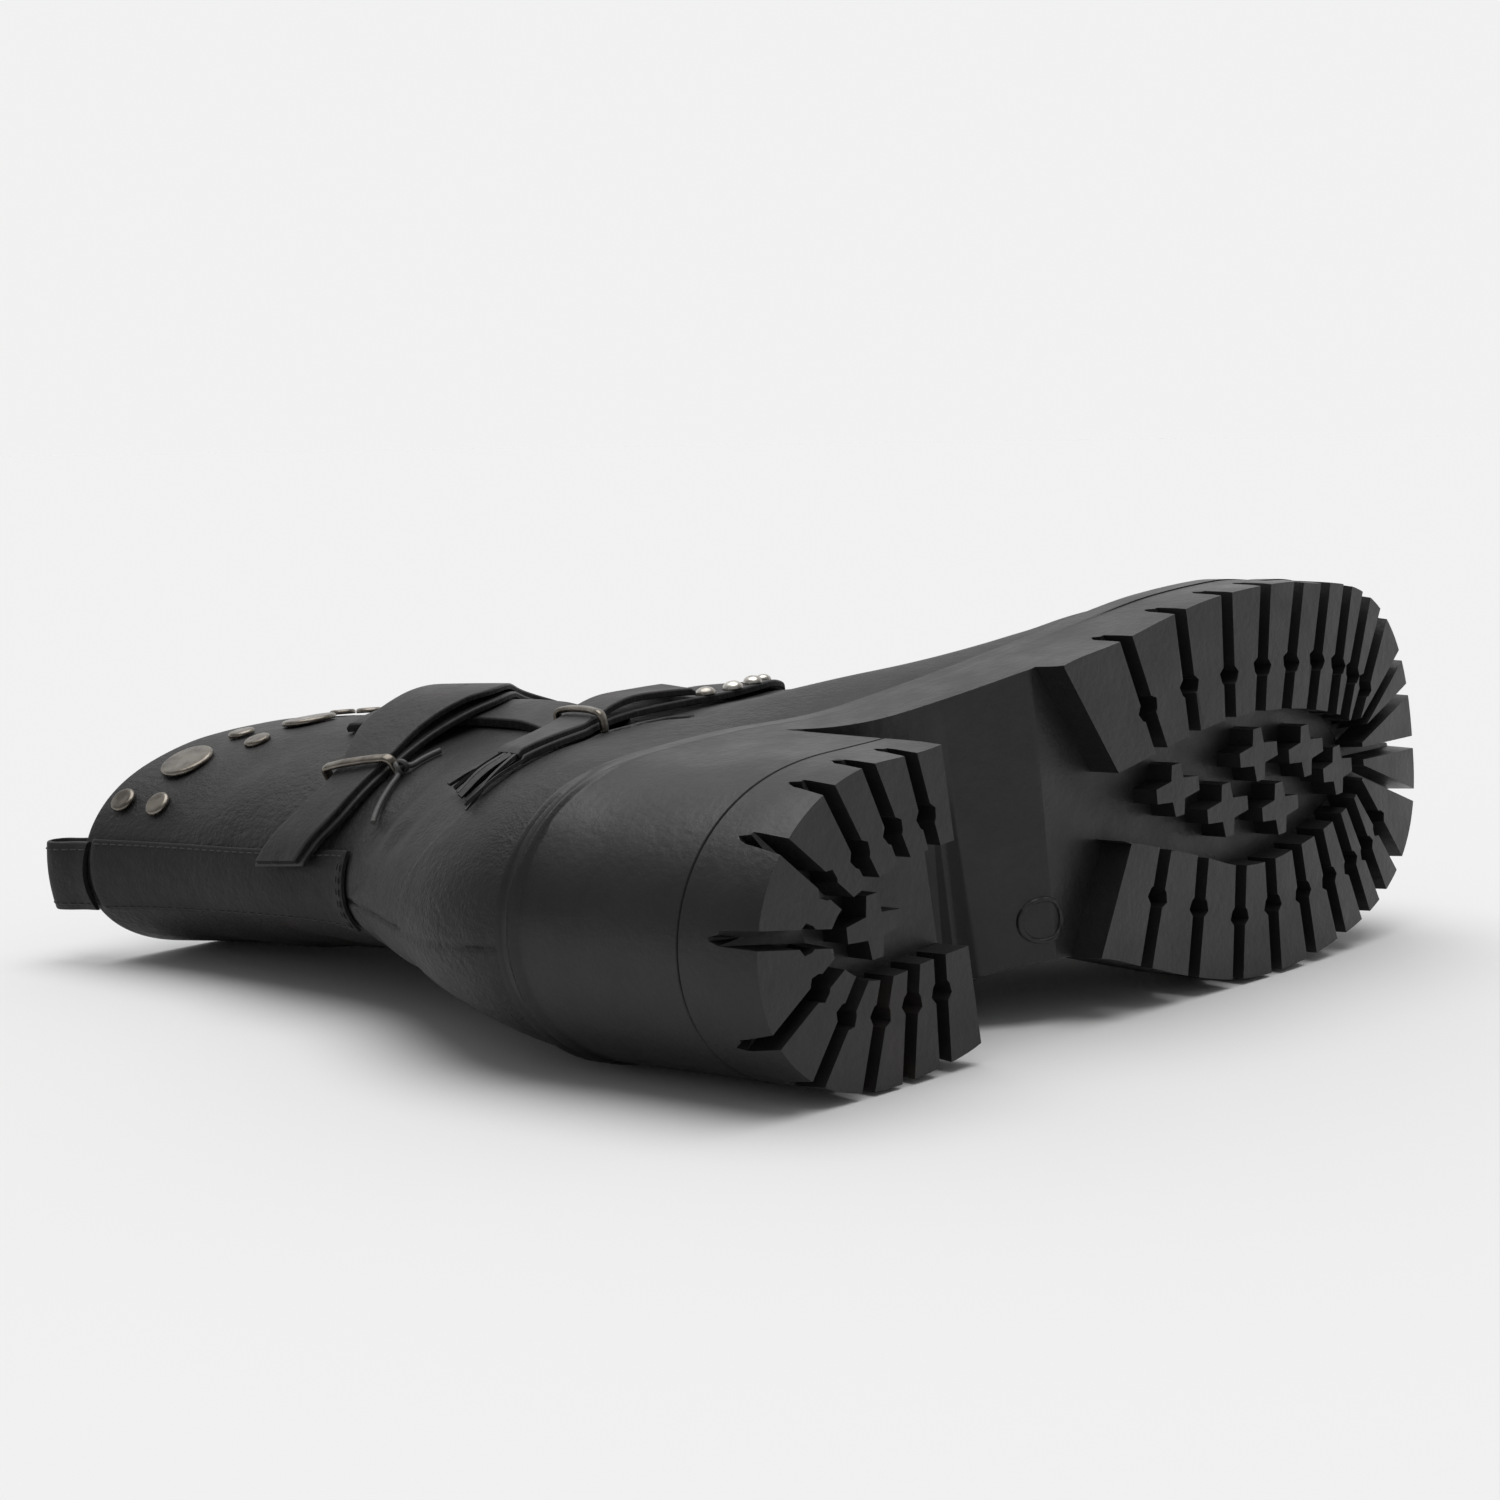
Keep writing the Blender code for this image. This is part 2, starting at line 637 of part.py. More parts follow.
def tip_x(y):
    """Where the tread's outline reaches a given y at the toe."""
    side = OUTER if y < TOE_SWING else INNER
    low, high = 200.0, SOLE_TIP
    for _ in range(30):
        middle = (low + high) / 2
        if (tread_outline(middle, side) - y) * side > 0:
            low = middle
        else:
            high = middle
    return low


def groove_cutter(group):
    bm = bmesh.new()
    for side, rim_x, root_x in SIDE_GROOVES:
        rim = (rim_x, tread_outline(rim_x, side))
        add_groove(bm, (root_x, hollow_edge(root_x, side)), rim, GROOVE_WIDTH)
    for rim_y, root_y in TOE_GROOVES:
        root = (FOREFOOT_HOLLOW[-1][0], root_y)
        add_groove(bm, root, (tip_x(rim_y), rim_y), GROOVE_WIDTH * 0.7)
    for rim_x, rim_y, root_x, root_y in HEEL_GROOVES:
        add_groove(bm, (root_x, root_y), (rim_x, rim_y), HEEL_GROOVE_WIDTH)
    return as_cutter("groove_cutter", bm, group)


def cross_studs(group):
    bm = bmesh.new()
    arm = CROSS_ARM / 2
    for x, y, length, width in CROSSES:
        a, b = length / 2, width / 2
        quarter = ((a, -arm * 0.7), (a, arm * 0.7), (arm, arm), (arm * 0.7, b), (-arm * 0.7, b), (-arm, arm))
        outline = [(x + u, y + v) for u, v in quarter]
        outline += [(x - u, y - v) for u, v in quarter]
        add_prism(bm, outline, CROSS_TOP, LUG_DEPTH + 1.5)
    return as_cutter("cross_studs", bm, group)


def lift_toe(mesh):
    """Curve the flat-built sole up towards the toe."""
    bm = bmesh.new()
    bm.from_mesh(mesh)
    for x in (188.0, 201.0, 214.0, 227.0, 240.0):
        geometry = bm.verts[:] + bm.edges[:] + bm.faces[:]
        bmesh.ops.bisect_plane(bm, geom=geometry, dist=1e-7, plane_co=(x * MM, 0, 0), plane_no=(1, 0, 0))
    bmesh.ops.remove_doubles(bm, verts=bm.verts, dist=2e-5)
    bmesh.ops.dissolve_degenerate(bm, edges=bm.edges, dist=1e-5)
    bmesh.ops.triangulate(bm, faces=bm.faces)
    for vert in bm.verts:
        vert.co.z += spring(vert.co.x / MM) * MM
    bm.to_mesh(mesh)
    bm.free()


def build_outsole(group, cutters):
    item = sole_body(group)
    for cutter in (waist_cutter(cutters), hollow_cutter(cutters), groove_cutter(cutters)):
        cut(item, cutter)
    cut(item, cross_studs(cutters), "UNION")
    finished = evaluated_mesh(item)
    item.modifiers.clear()
    lift_toe(finished)
    finished.name = "outsole"
    item.data = finished
    paint(item, "sole_rubber", (0.020, 0.020, 0.021), 0.55)
    return item


# ---------------------------------------------------------------- upper
def section(level):
    """Named sizes of the section at a level from 0 (feather) to 1 (collar)."""
    last = len(SECTIONS) - 1
    keys = list(range(last + 1))
    return {name: through(keys, column(SECTIONS, SECTION_COLUMNS, name), level * last)
            for name in SECTION_COLUMNS}


def section_width(row, share, side):
    ends = "_out" if side == OUTER else "_in"
    heel, waist, ball = (row[part + ends] for part in ("heel", "waist", "ball"))
    first, second, third = SECTION_STATIONS
    if share < second:
        return heel + (waist - heel) * smooth((share - first) / (second - first))
    return waist + (ball - waist) * smooth((share - second) / (third - second))


def upper_point(row, distance, side, inset=0.0):
    """Point of the upper's outside at a distance along the section from its back."""
    length = row["front_x"] - row["back_x"]
    share = distance / length
    heel = end_cap(distance, row["heel_arc"], SECTION_POWER)
    toe = end_cap(length - distance, row["toe_arc"], SECTION_POWER)
    x = row["back_x"] + distance
    swing = TOE_SWING * smooth((row["front_x"] - 170.0) / 85.0) * (1 - toe)
    edge = look_up(FEATHER, FEATHER_COLUMNS, "outer" if side == OUTER else "inner", x)
    width = section_width(row, share, side)
    width += row["hug"] * (edge - FEATHER_MARGIN - width)
    y = swing + heel * toe * side * (width - inset)
    first = SECTIONS[0]
    base = first[1] + (first[3] - first[1]) * (x - first[0]) / (first[2] - first[0])
    chord = row["back_z"] + (row["front_z"] - row["back_z"]) * share
    return Vector((x, y, chord + row["sag"] * (feather_z(x) - base) + SEAT_GAP))


def upper_ring(level):
    row = section(level)
    length = row["front_x"] - row["back_x"]
    along = stations(length, row["heel_arc"], min(row["toe_arc"], length - row["heel_arc"] - 5.0),
                     HEEL_STEPS, WAIST_STEPS, TOE_STEPS)
    loop = [upper_point(row, distance, OUTER) for distance in along]
    loop += [upper_point(row, distance, INNER) for distance in along[-2:0:-1]]
    return loop


def build_upper(group):
    bm = bmesh.new()
    add_loft(bm, [upper_ring(i / (RINGS - 1)) for i in range(RINGS)], close_ends=False)
    bmesh.ops.recalc_face_normals(bm, faces=bm.faces)
    mesh = bpy.data.meshes.new("upper")
    bm.to_mesh(mesh)
    bm.free()
    item = new_object("upper", mesh, group)
    wall = item.modifiers.new("wall", "SOLIDIFY")
    wall.thickness = UPPER_WALL * MM
    wall.offset = -1.0
    paint(item, "leather", (0.028, 0.027, 0.028), 0.5)
    return item


# ---------------------------------------------------------------- pieces on the upper
def place(level, turn):
    """Point of the upper's outside."""
    row = section(level)
    length = row["front_x"] - row["back_x"]
    side = OUTER if math.sin(math.pi * turn) >= 0.0 else INNER
    return upper_point(row, length * (1 - math.cos(math.pi * turn)) / 2, side)


def over(level, turn, lift):
    """Point at a height over the upper's outside."""
    ground = place(level, turn)
    around = place(level, turn + 0.01) - place(level, turn - 0.01)
    upward = place(min(level + 0.01, 1.0), turn) - place(max(level - 0.01, 0.0), turn)
    return ground + around.cross(upward).normalized() * lift


def strap_value(table, name, row):
    return through(list(range(len(table))), column(table, STRAP_COLUMNS, name), row)


def strap_point(table, row, share, height):
    """Point of a strap at a share of its width from the low edge."""
    low = {name: strap_value(table, name, row) for name in STRAP_COLUMNS}
    turn = low["low_turn"] + share * (low["high_turn"] - low["low_turn"])
    level = low["low_level"] + share * (low["high_level"] - low["low_level"])
    lift = low["low_lift"] + share * (low["high_lift"] - low["low_lift"])
    return over(level, turn, lift + height)


def steps_between(first, last, count):
    return [first + (last - first) * i / count for i in range(count + 1)]


def add_strap(bm, table, rows, profile):
    """Loft a closed profile of (share of width, height) along a strap."""
    add_loft(bm, [[strap_point(table, row, share, height) for share, height in profile(row)]
                  for row in rows])


def flat_profile(thickness, base=0.0, across=3, inset=0.0):
    """Plain strip with slightly softened top corners."""
    under = [(inset + (1 - 2 * inset) * i / across, base) for i in range(across + 1)]
    top = [(0.98 - inset - (0.96 - 2 * inset) * i / across, base + thickness)
           for i in range(across + 1)]
    return under + top


def two_layer_profile(layer):
    step = LAYER_STEP
    return [(0.0, 0.0), (0.33, 0.0), (0.67, 0.0), (1.0, 0.0),
            (1.0, layer), (1 - step, layer), (1 - step, 2 * layer), (0.66, 2 * layer),
            (0.34, 2 * layer), (step, 2 * layer), (step, layer), (0.0, layer)]


def leather_piece(name, bm, group):
    item = new_object(name, mesh_from(name, bm), group)
    paint(item, "leather", (0.028, 0.027, 0.028), 0.5)
    return item


def metal_piece(name, bm, group):
    item = new_object(name, mesh_from(name, bm), group)
    paint(item, "antique_nickel", (0.16, 0.14, 0.12), 0.35, 1.0)
    return item


def build_ankle_strap(group):
    bm = bmesh.new()
    rows = steps_between(0.0, len(ANKLE_STRAP) - 1.0, 36)
    add_strap(bm, ANKLE_STRAP, rows, lambda row: two_layer_profile(ANKLE_LAYER))
    return leather_piece("ankle_strap", bm, group)


def arch_gap(row):
    return through(column(ARCH, ARCH_COLUMNS, "row"), column(ARCH, ARCH_COLUMNS, "gap"), row)


def add_thong(bm, points, across, up):
    """A square strip along points."""
    half = THONG_WIDTH / 2
    rings = []
    for i, point in enumerate(points):
        width = half * (1.0 - 0.25 * i / (len(points) - 1))
        side, rise = across * width, up * (INSTEP_LAYER * 0.42)
        rings.append([point - side - rise, point + side - rise, point + side + rise, point - side + rise])
    add_loft(bm, rings)


def build_instep_strap(group, cutters):
    bm = bmesh.new()
    rows = steps_between(0.0, len(INSTEP_STRAP) - 1.0, 40)
    add_strap(bm, INSTEP_STRAP, rows, lambda row: flat_profile(INSTEP_LAYER))
    item = leather_piece("instep_strap", bm, group)
    bm = bmesh.new()
    rows = [row for row in rows if row <= ARCH[-1][0]]
    add_strap(bm, INSTEP_STRAP, rows, lambda row: flat_profile(
        INSTEP_LAYER, INSTEP_LAYER - LAYER_BITE + arch_gap(row), inset=LAYER_STEP * 0.6))
    cut(item, as_cutter("instep_top_layer", bm, cutters), "UNION")
    bm = bmesh.new()
    across = strap_point(INSTEP_STRAP, 0.0, 1.0, 0.0) - strap_point(INSTEP_STRAP, 0.0, 0.0, 0.0)
    for share, turn, level, lift in FRINGE:
        root = strap_point(INSTEP_STRAP, 0.25, share, INSTEP_LAYER)
        mouth = strap_point(INSTEP_STRAP, 0.0, share, INSTEP_LAYER)
        up = mouth - strap_point(INSTEP_STRAP, 0.0, share, 0.0)
        tip = over(level, turn, lift)
        bend = mouth.lerp(tip, 0.5) + (over(level, turn, lift + 1.0) - tip) * 0.6
        add_thong(bm, [root, mouth, bend, tip], across.normalized(), up.normalized())
    cut(item, as_cutter("fringe", bm, cutters), "UNION")
    finished = evaluated_mesh(item)
    item.modifiers.clear()
    finished.name = "instep_strap"
    item.data = finished
    return item


def build_keeper(name, table, row, height, group):
    """Flat metal bar over a strap, its ends turned down beside the strap's edges."""
    path = (
        (-0.085, 0.0), (-0.085, height * 0.5), (-0.06, height + 0.1), (0.06, height + 0.45),
        (0.3, height + 0.75), (0.7, height + 0.75), (0.92, height + 0.45),
        (1.02, height + 0.1), (1.035, height * 0.5), (1.035, 0.0),
    )
    bm = bmesh.new()
    ahead, behind = (strap_point(table, row + step, 0.5, height) for step in (0.1, -0.1))
    along = (ahead - behind).normalized()
    points = [strap_point(table, row, share, lift) for share, lift in path]
    rings = []
    for i, point in enumerate(points):
        ahead, behind = points[min(i + 1, len(points) - 1)], points[max(i - 1, 0)]
        outward = along.cross(ahead - behind).normalized()
        half, thick = along * (KEEPER_WIDTH / 2), outward * KEEPER_THICKNESS
        rings.append([point - half, point + half, point + half * 0.8 + thick, point - half * 0.8 + thick])
    add_loft(bm, rings)
    return metal_piece(name, bm, group)


def build_strip(name, table, thickness, end_thickness, group):
    """A strip from its top end down, pared over its last two rows."""
    last = len(table) - 1.0
    bm = bmesh.new()
    add_strap(bm, table, steps_between(0.0, last, 12), lambda row: flat_profile(
        thickness + (end_thickness - thickness) * smooth((row - last + 2.0) / 1.4), across=4))
    return leather_piece(name, bm, group)


def build_pull_loop(group):
    bm = bmesh.new()
    rings = []
    for i, (x, z, bow) in enumerate(LOOP):
        ahead, behind = LOOP[min(i + 1, len(LOOP) - 1)], LOOP[max(i - 1, 0)]
        tangent = Vector((ahead[0] - behind[0], 0.0, ahead[1] - behind[1])).normalized()
        away = Vector((-tangent.z, 0.0, tangent.x)) * LOOP_THICKNESS
        ring = []
        for side in (-1.0, -0.5, 0.0, 0.5, 1.0):
            y = LOOP_SHIFT + side * LOOP_HALF_WIDTH
            ring.append(Vector((x + bow * (y / 8.0) ** 2, y, z)))
        ring += [point + away for point in reversed(ring)]
        rings.append(ring)
    add_loft(bm, rings)
    return leather_piece("pull_loop", bm, group)


def build_heel_counter(group):
    keys = list(range(len(COUNTER)))
    columns = {name: column(COUNTER, COUNTER_COLUMNS, name) for name in COUNTER_COLUMNS}
    bm = bmesh.new()
    rings = []
    for key in steps_between(0.0, len(COUNTER) - 1.0, 30):
        turn, bottom, top = (through(keys, columns[name], key) for name in COUNTER_COLUMNS)
        levels = steps_between(bottom, top, 4)
        ring = [over(level, turn, COUNTER_GAP) for level in levels]
        ring += [over(level, turn, COUNTER_GAP + COUNTER_THICKNESS) for level in reversed(levels)]
        rings.append(ring)
    add_loft(bm, rings)
    return leather_piece("heel_counter", bm, group)


def upright_frame(level, turn):
    """Axes of a flat thing lying on the upper: around, upward, outward."""
    outward = (over(level, turn, 1.0) - over(level, turn, 0.0)).normalized()
    around = (place(level, turn + 0.01) - place(level, turn - 0.01)).normalized()
    return around, outward.cross(around), outward


def add_turned(bm, centre, axes, profile, sides):
    """Body of revolution from a profile of (radius, height), closed by flat ends."""
    around, upward, outward = axes
    rings = []
    for radius, height in profile:
        ring = []
        for i in range(sides):
            angle = 2 * math.pi * i / sides
            ring.append(centre + around * (radius * math.cos(angle)) + upward * (radius * math.sin(angle))
                        + outward * height)
        rings.append(ring)
    add_loft(bm, rings)


def build_discs(group):
    items = []
    for number, (level, turn, radius) in enumerate(DISCS, 1):
        bm = bmesh.new()
        profile = ((radius, 0.0), (radius, DISC_THICKNESS * 0.6), (radius - 0.5, DISC_THICKNESS))
        sides = 20 if radius > 5 else 12
        add_turned(bm, over(level, turn, GAP), upright_frame(level, turn), profile, sides)
        items.append(metal_piece(f"disc_stud_{number}", bm, group))
    return items


def build_domes(group):
    items = []
    for number, (row, share, radius, height) in enumerate(DOMES, 1):
        top = INSTEP_LAYER + GAP
        base = strap_point(INSTEP_STRAP, row, share, top)
        outward = (strap_point(INSTEP_STRAP, row, share, top + 1.0) - base).normalized()
        ahead, behind = (strap_point(INSTEP_STRAP, row + step, share, top) for step in (0.1, -0.1))
        around = ahead - behind
        around = (around - outward * around.dot(outward)).normalized()
        profile = ((radius, 0.0), (radius * 0.86, height * 0.55), (radius * 0.4, height))
        bm = bmesh.new()
        add_turned(bm, base, (around, outward.cross(around), outward), profile, 10)
        items.append(metal_piece(f"dome_stud_{number}", bm, group))
    return items


def build_keeper_thong(group):
    points = [over(level, turn, lift) for turn, level, lift in KEEPER_THONG]
    rings = []
    for i, point in enumerate(points):
        along = (points[min(i + 1, len(points) - 1)] - points[max(i - 1, 0)]).normalized()
        turn, level, _ = KEEPER_THONG[i]
        outward = upright_frame(level, turn)[2]
        side = along.cross(outward).normalized()
        lifted = side.cross(along)
        rings.append([point + (side * math.cos(a) + lifted * math.sin(a)) * THONG_RADIUS
                      for a in (0.0, 1.05, 2.09, 3.14, 4.19, 5.24)])
    bm = bmesh.new()
    add_loft(bm, rings)
    return leather_piece("keeper_thong", bm, group)


def build_insole(group):
    bm = bmesh.new()
    back, front = INSOLE_INSET, SOLE_TIP - INSOLE_INSET - 2.0
    along = [back + s for s in stations(front - back, 32.0, 56.0, 5, 14, 6)]
    rings = []
    for lift in (SEAT_GAP, SEAT_GAP + INSOLE_THICKNESS):
        loop = []
        for side, order in ((OUTER, along), (INNER, along[-2:0:-1])):
            for x in order:
                width = look_up(FEATHER, FEATHER_COLUMNS, "outer" if side == OUTER else "inner", x)
                heel = end_cap(x - back, 32.0, SECTION_POWER)
                toe = end_cap(front - x, 56.0, SECTION_POWER)
                y = TOE_SWING * (1 - toe) + heel * toe * side * (width - INSOLE_INSET - 1.0)
                loop.append((x, y, feather_z(x) + lift))
        rings.append(loop)
    rows = add_loft(bm, rings, close_ends=False)
    for row in rows:
        count = len(row)
        pairs = [(row[i], row[(count - i) % count]) for i in range(count // 2 + 1)]
        for (a, b), (c, d) in zip(pairs, pairs[1:]):
            bm.faces.new(list(dict.fromkeys((a, c, d, b))))
    item = new_object("insole", mesh_from("insole", bm), group)
    paint(item, "lining", (0.05, 0.045, 0.04), 0.8)
    return item


def lying_turn():
    """Rotation from the boot frame to the ground: toe along X, leg along Y."""
    up = Vector(LYING_UP).normalized()
    ahead = (Vector((1.0, 0.0, 0.0)) - up * up.x).normalized()
    return Matrix((ahead, up.cross(ahead), up)).to_4x4()


def lay_down(pieces, group):
    """Parent the pieces to an empty that lays the boot on the ground over the origin."""
    turn = lying_turn()
    low, high = Vector((1.0, 1.0, 1.0)), Vector((-1.0, -1.0, -1.0))
    for item in pieces:
        for vert in evaluated_mesh(item).vertices:
            corner = turn @ vert.co
            low = Vector(map(min, low, corner))
            high = Vector(map(max, high, corner))
    middle = (low + high) / 2
    ground = bpy.data.objects.new("lying_boot", None)
    group.objects.link(ground)
    ground.matrix_world = Matrix.Translation((-middle.x, -middle.y, -low.z)) @ turn
    for item in pieces:
        item.parent = ground


def build():
    for item in list(bpy.data.objects):
        bpy.data.objects.remove(item, do_unlink=True)
    boot = bpy.data.collections.new("biker_ankle_boot")
    cutters = bpy.data.collections.new("cutters")
    for group in (boot, cutters):
        bpy.context.scene.collection.children.link(group)
    pieces = [
        build_outsole(boot, cutters),
        build_upper(boot),
        build_insole(boot),
        build_heel_counter(boot),
        build_strip("backstay", BACKSTAY, BACKSTAY_THICKNESS, BACKSTAY_THICKNESS, boot),
        build_pull_loop(boot),
        build_strip("harness_band", HARNESS_BAND, BAND_THICKNESS, BAND_SKIVED, boot),
        build_ankle_strap(boot),
        build_instep_strap(boot, cutters),
        build_keeper("ankle_keeper", ANKLE_STRAP, ANKLE_KEEPER_ROW, 2 * ANKLE_LAYER, boot),
        build_keeper("instep_keeper", INSTEP_STRAP, INSTEP_KEEPER_ROW, 2 * INSTEP_LAYER, boot),
        build_keeper_thong(boot),
        *build_discs(boot),
        *build_domes(boot),
    ]
    lay_down(pieces, boot)


build()
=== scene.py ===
"""Looks of a biker ankle boot, right foot, lying on its inner side.

Boot frame: X from the back of the heel to the toe, Y to the inner side, Z up from the
tread, in millimetres. to_row() lays the boot on the ground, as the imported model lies.
"""
import math

import bmesh
import bpy
import numpy as np
from mathutils import Matrix, Vector


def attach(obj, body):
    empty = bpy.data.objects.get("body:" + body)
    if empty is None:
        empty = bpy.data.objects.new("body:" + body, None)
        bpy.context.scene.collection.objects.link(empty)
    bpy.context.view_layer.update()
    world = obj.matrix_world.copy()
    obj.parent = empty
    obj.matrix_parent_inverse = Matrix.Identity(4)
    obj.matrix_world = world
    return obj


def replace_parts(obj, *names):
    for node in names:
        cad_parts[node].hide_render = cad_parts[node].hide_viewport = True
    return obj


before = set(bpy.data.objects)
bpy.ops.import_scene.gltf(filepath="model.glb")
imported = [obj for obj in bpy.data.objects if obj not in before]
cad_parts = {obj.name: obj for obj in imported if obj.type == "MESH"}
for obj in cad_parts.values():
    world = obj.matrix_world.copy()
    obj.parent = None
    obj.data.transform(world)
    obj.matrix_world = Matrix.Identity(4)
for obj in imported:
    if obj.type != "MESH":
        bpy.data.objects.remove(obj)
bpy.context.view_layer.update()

# The boot frame's origin in the row frame, in millimetres
HEEL_POINT = (-127.052, -116.747, 31.245)

MM = 0.001
GAP = 0.3                   # clearance between pieces that touch
SEAT_GAP = 0.5              # the same over the curved top of the sole
OUTER, INNER = -1, 1        # sides of a right boot along Y
SIDE_NAME = {OUTER: "outer", INNER: "inner"}
# Up from the ground in the boot frame: the boot lies on the inner side of its heel,
# ball and collar
LYING_UP = (0.0810, -0.9957, -0.0449)

# Sole unit
SOLE_TIP = 255.4            # toe end of the tread
HEEL_BACK = 13.5            # back end of the heel's tread
HEEL_ARC, TOE_ARC = 40.0, 60.0
HEEL_TREAD_SHIFT = 4.5      # back end of the tread, towards the inner side
TOE_SWING = 7.0             # toe end, towards the inner side
HEEL_POWER, TOE_POWER = 2.05, 2.5
SPRING_START, TOE_SPRING = 175.0, 4.7
RAND_HEIGHT, RAND_STEP = 4.2, 1.0       # moulded lip round the back of the heel
RAND_FULL_TO, RAND_GONE_AT = 14.0, 36.0 # it sinks into the wall between these
BREAST_SKEW = 0.067         # the heel breast runs forward towards the inner side
LUG_DEPTH = 7.5
MOUTH_DEPTH = 9.5           # a groove rises to a point where it meets the side
GROOVE_WIDTH = 4.8
CUT_BELOW = 3.0             # how far cutters reach below the tread

# Upright side of the sole: share of the height, share of the way out to the feather
WALL_FOOT = ((0.0, 0.0), (0.10, 0.18), (0.19, 0.27))
WALL_SLOPE = ((0.10, 0.30, 0.96), (0.18, 0.36, 0.96))

TREAD_COLUMNS = ("x", "outer", "inner")
TREAD = (
    (10.0, 29.0, 37.0), (45.0, 28.8, 34.8), (71.0, 28.6, 33.6), (92.0, 33.0, 27.4),
    (112.0, 37.6, 25.2), (132.0, 39.4, 32.0), (149.0, 41.8, 38.4), (165.0, 43.4, 43.0),
    (181.0, 43.6, 45.2), (197.0, 42.8, 45.3), (212.0, 41.2, 44.6), (256.2, 44.0, 44.6),
)
FEATHER_COLUMNS = ("x", "outer", "inner", "z")
FEATHER = (
    (0.0, 31.0, 30.4, 56.0), (30.0, 30.8, 32.0, 54.4), (60.0, 31.7, 31.8, 50.2),
    (81.0, 31.7, 28.2, 43.5), (100.0, 34.3, 25.9, 36.8), (115.0, 37.0, 26.9, 31.2),
    (133.0, 40.2, 32.2, 25.8), (150.0, 43.0, 38.6, 22.4), (165.0, 44.5, 43.4, 20.6),
    (190.0, 44.4, 45.6, 20.0), (212.0, 42.2, 44.8, 21.0), (256.0, 47.0, 44.4, 25.5),
)
# Underside of the waist, from the top of the breast to the forefoot
WAIST_COLUMNS = ("x", "z")
WAIST = (
    (68.5, 38.0), (74.0, 31.0), (82.0, 24.6), (95.0, 16.8),
    (104.0, 11.2), (110.0, 7.5),
)
# Hollow between the lugs, from the waist to the toe, and the same in the heel
HOLLOW_COLUMNS = ("x", "outer", "inner")
FOREFOOT_HOLLOW = (
    (127.0, -11.8, 3.0), (140.0, -13.3, 7.2), (155.0, -15.0, 12.4), (169.0, -15.8, 17.6),
    (182.0, -15.3, 19.2), (193.0, -14.0, 18.6), (204.0, -12.0, 17.3), (214.0, -9.3, 15.2),
    (222.0, -6.2, 12.6), (227.5, -0.5, 8.0),
)
HEEL_HOLLOW = (
    (34.0, 0.0, 5.0), (37.5, -3.2, 9.0), (44.0, -5.6, 12.4), (52.0, -7.4, 13.0),
    (60.0, -8.8, 12.6), (84.0, -9.4, 12.6),
)
# Rear faces of the first lugs: point at the hollow, point on the side
OUTER_LUG_FACE = ((127.0, -11.8), (111.0, -37.5))
INNER_LUG_FACE = ((129.5, 4.1), (115.5, 26.2))
# Grooves between lugs along the sides: side, x where they meet the side and the hollow,
# y of the widened place
SIDE_GROOVES = (
    (OUTER, 133.4, 143.0, -23.5), (OUTER, 153.8, 156.0, -25.7), (OUTER, 172.0, 170.0, -25.5),
    (OUTER, 188.0, 182.0, -25.3), (OUTER, 202.5, 193.0, -24.3), (OUTER, 214.8, 204.0, -22.9),
    (OUTER, 225.6, 213.5, -20.2), (OUTER, 235.0, 219.5, -17.0), (OUTER, 243.5, 224.0, -13.0),
    (INNER, 131.2, 141.6, 17.5), (INNER, 148.2, 155.4, 23.4), (INNER, 165.2, 169.8, 29.1),
    (INNER, 181.0, 181.6, 29.5), (INNER, 196.6, 193.2, 29.6), (INNER, 211.0, 203.5, 29.1),
    (INNER, 223.6, 212.4, 27.8), (INNER, 233.2, 219.5, 26.1), (INNER, 243.4, 224.5, 21.4),
)
# Grooves through the toe: y where they meet the tip and the hollow
TOE_GROOVES = (
    (-17.0, -3.6), (-8.0, -1.2), (5.5, 3.0), (18.7, 7.6),
)
# Grooves of the heel: x, y of the point on the side and of the point on the hollow
HEEL_GROOVES = (
    (60.9, -29.2, 65.5, -9.0), (48.8, -28.3, 56.4, -8.4), (37.4, -25.7, 47.2, -6.0),
    (23.6, -18.4, 39.4, -3.8), (12.5, -3.0, 34.5, 1.8), (15.6, 17.6, 36.0, 6.6),
    (25.0, 29.6, 41.0, 11.5), (39.4, 34.4, 48.2, 12.8), (51.4, 34.8, 56.2, 12.6),
    (62.8, 34.6, 64.0, 12.6),
)
HEEL_GROOVE_WIDTH = 4.0
# Cross-shaped studs in the hollows: x, y, length, width
CROSSES = (
    (47.5, 2.6, 16.0, 12.6), (149.6, -3.6, 16.0, 11.5), (168.0, 4.6, 16.0, 12.0),
    (189.4, 8.6, 15.5, 12.0), (182.0, -5.4, 15.5, 12.0), (202.4, -2.4, 15.5, 12.0),
    (216.6, 5.0, 14.0, 11.5),
)
CROSS_ARM = 4.6
CROSS_TOP = 1.2             # below the tread

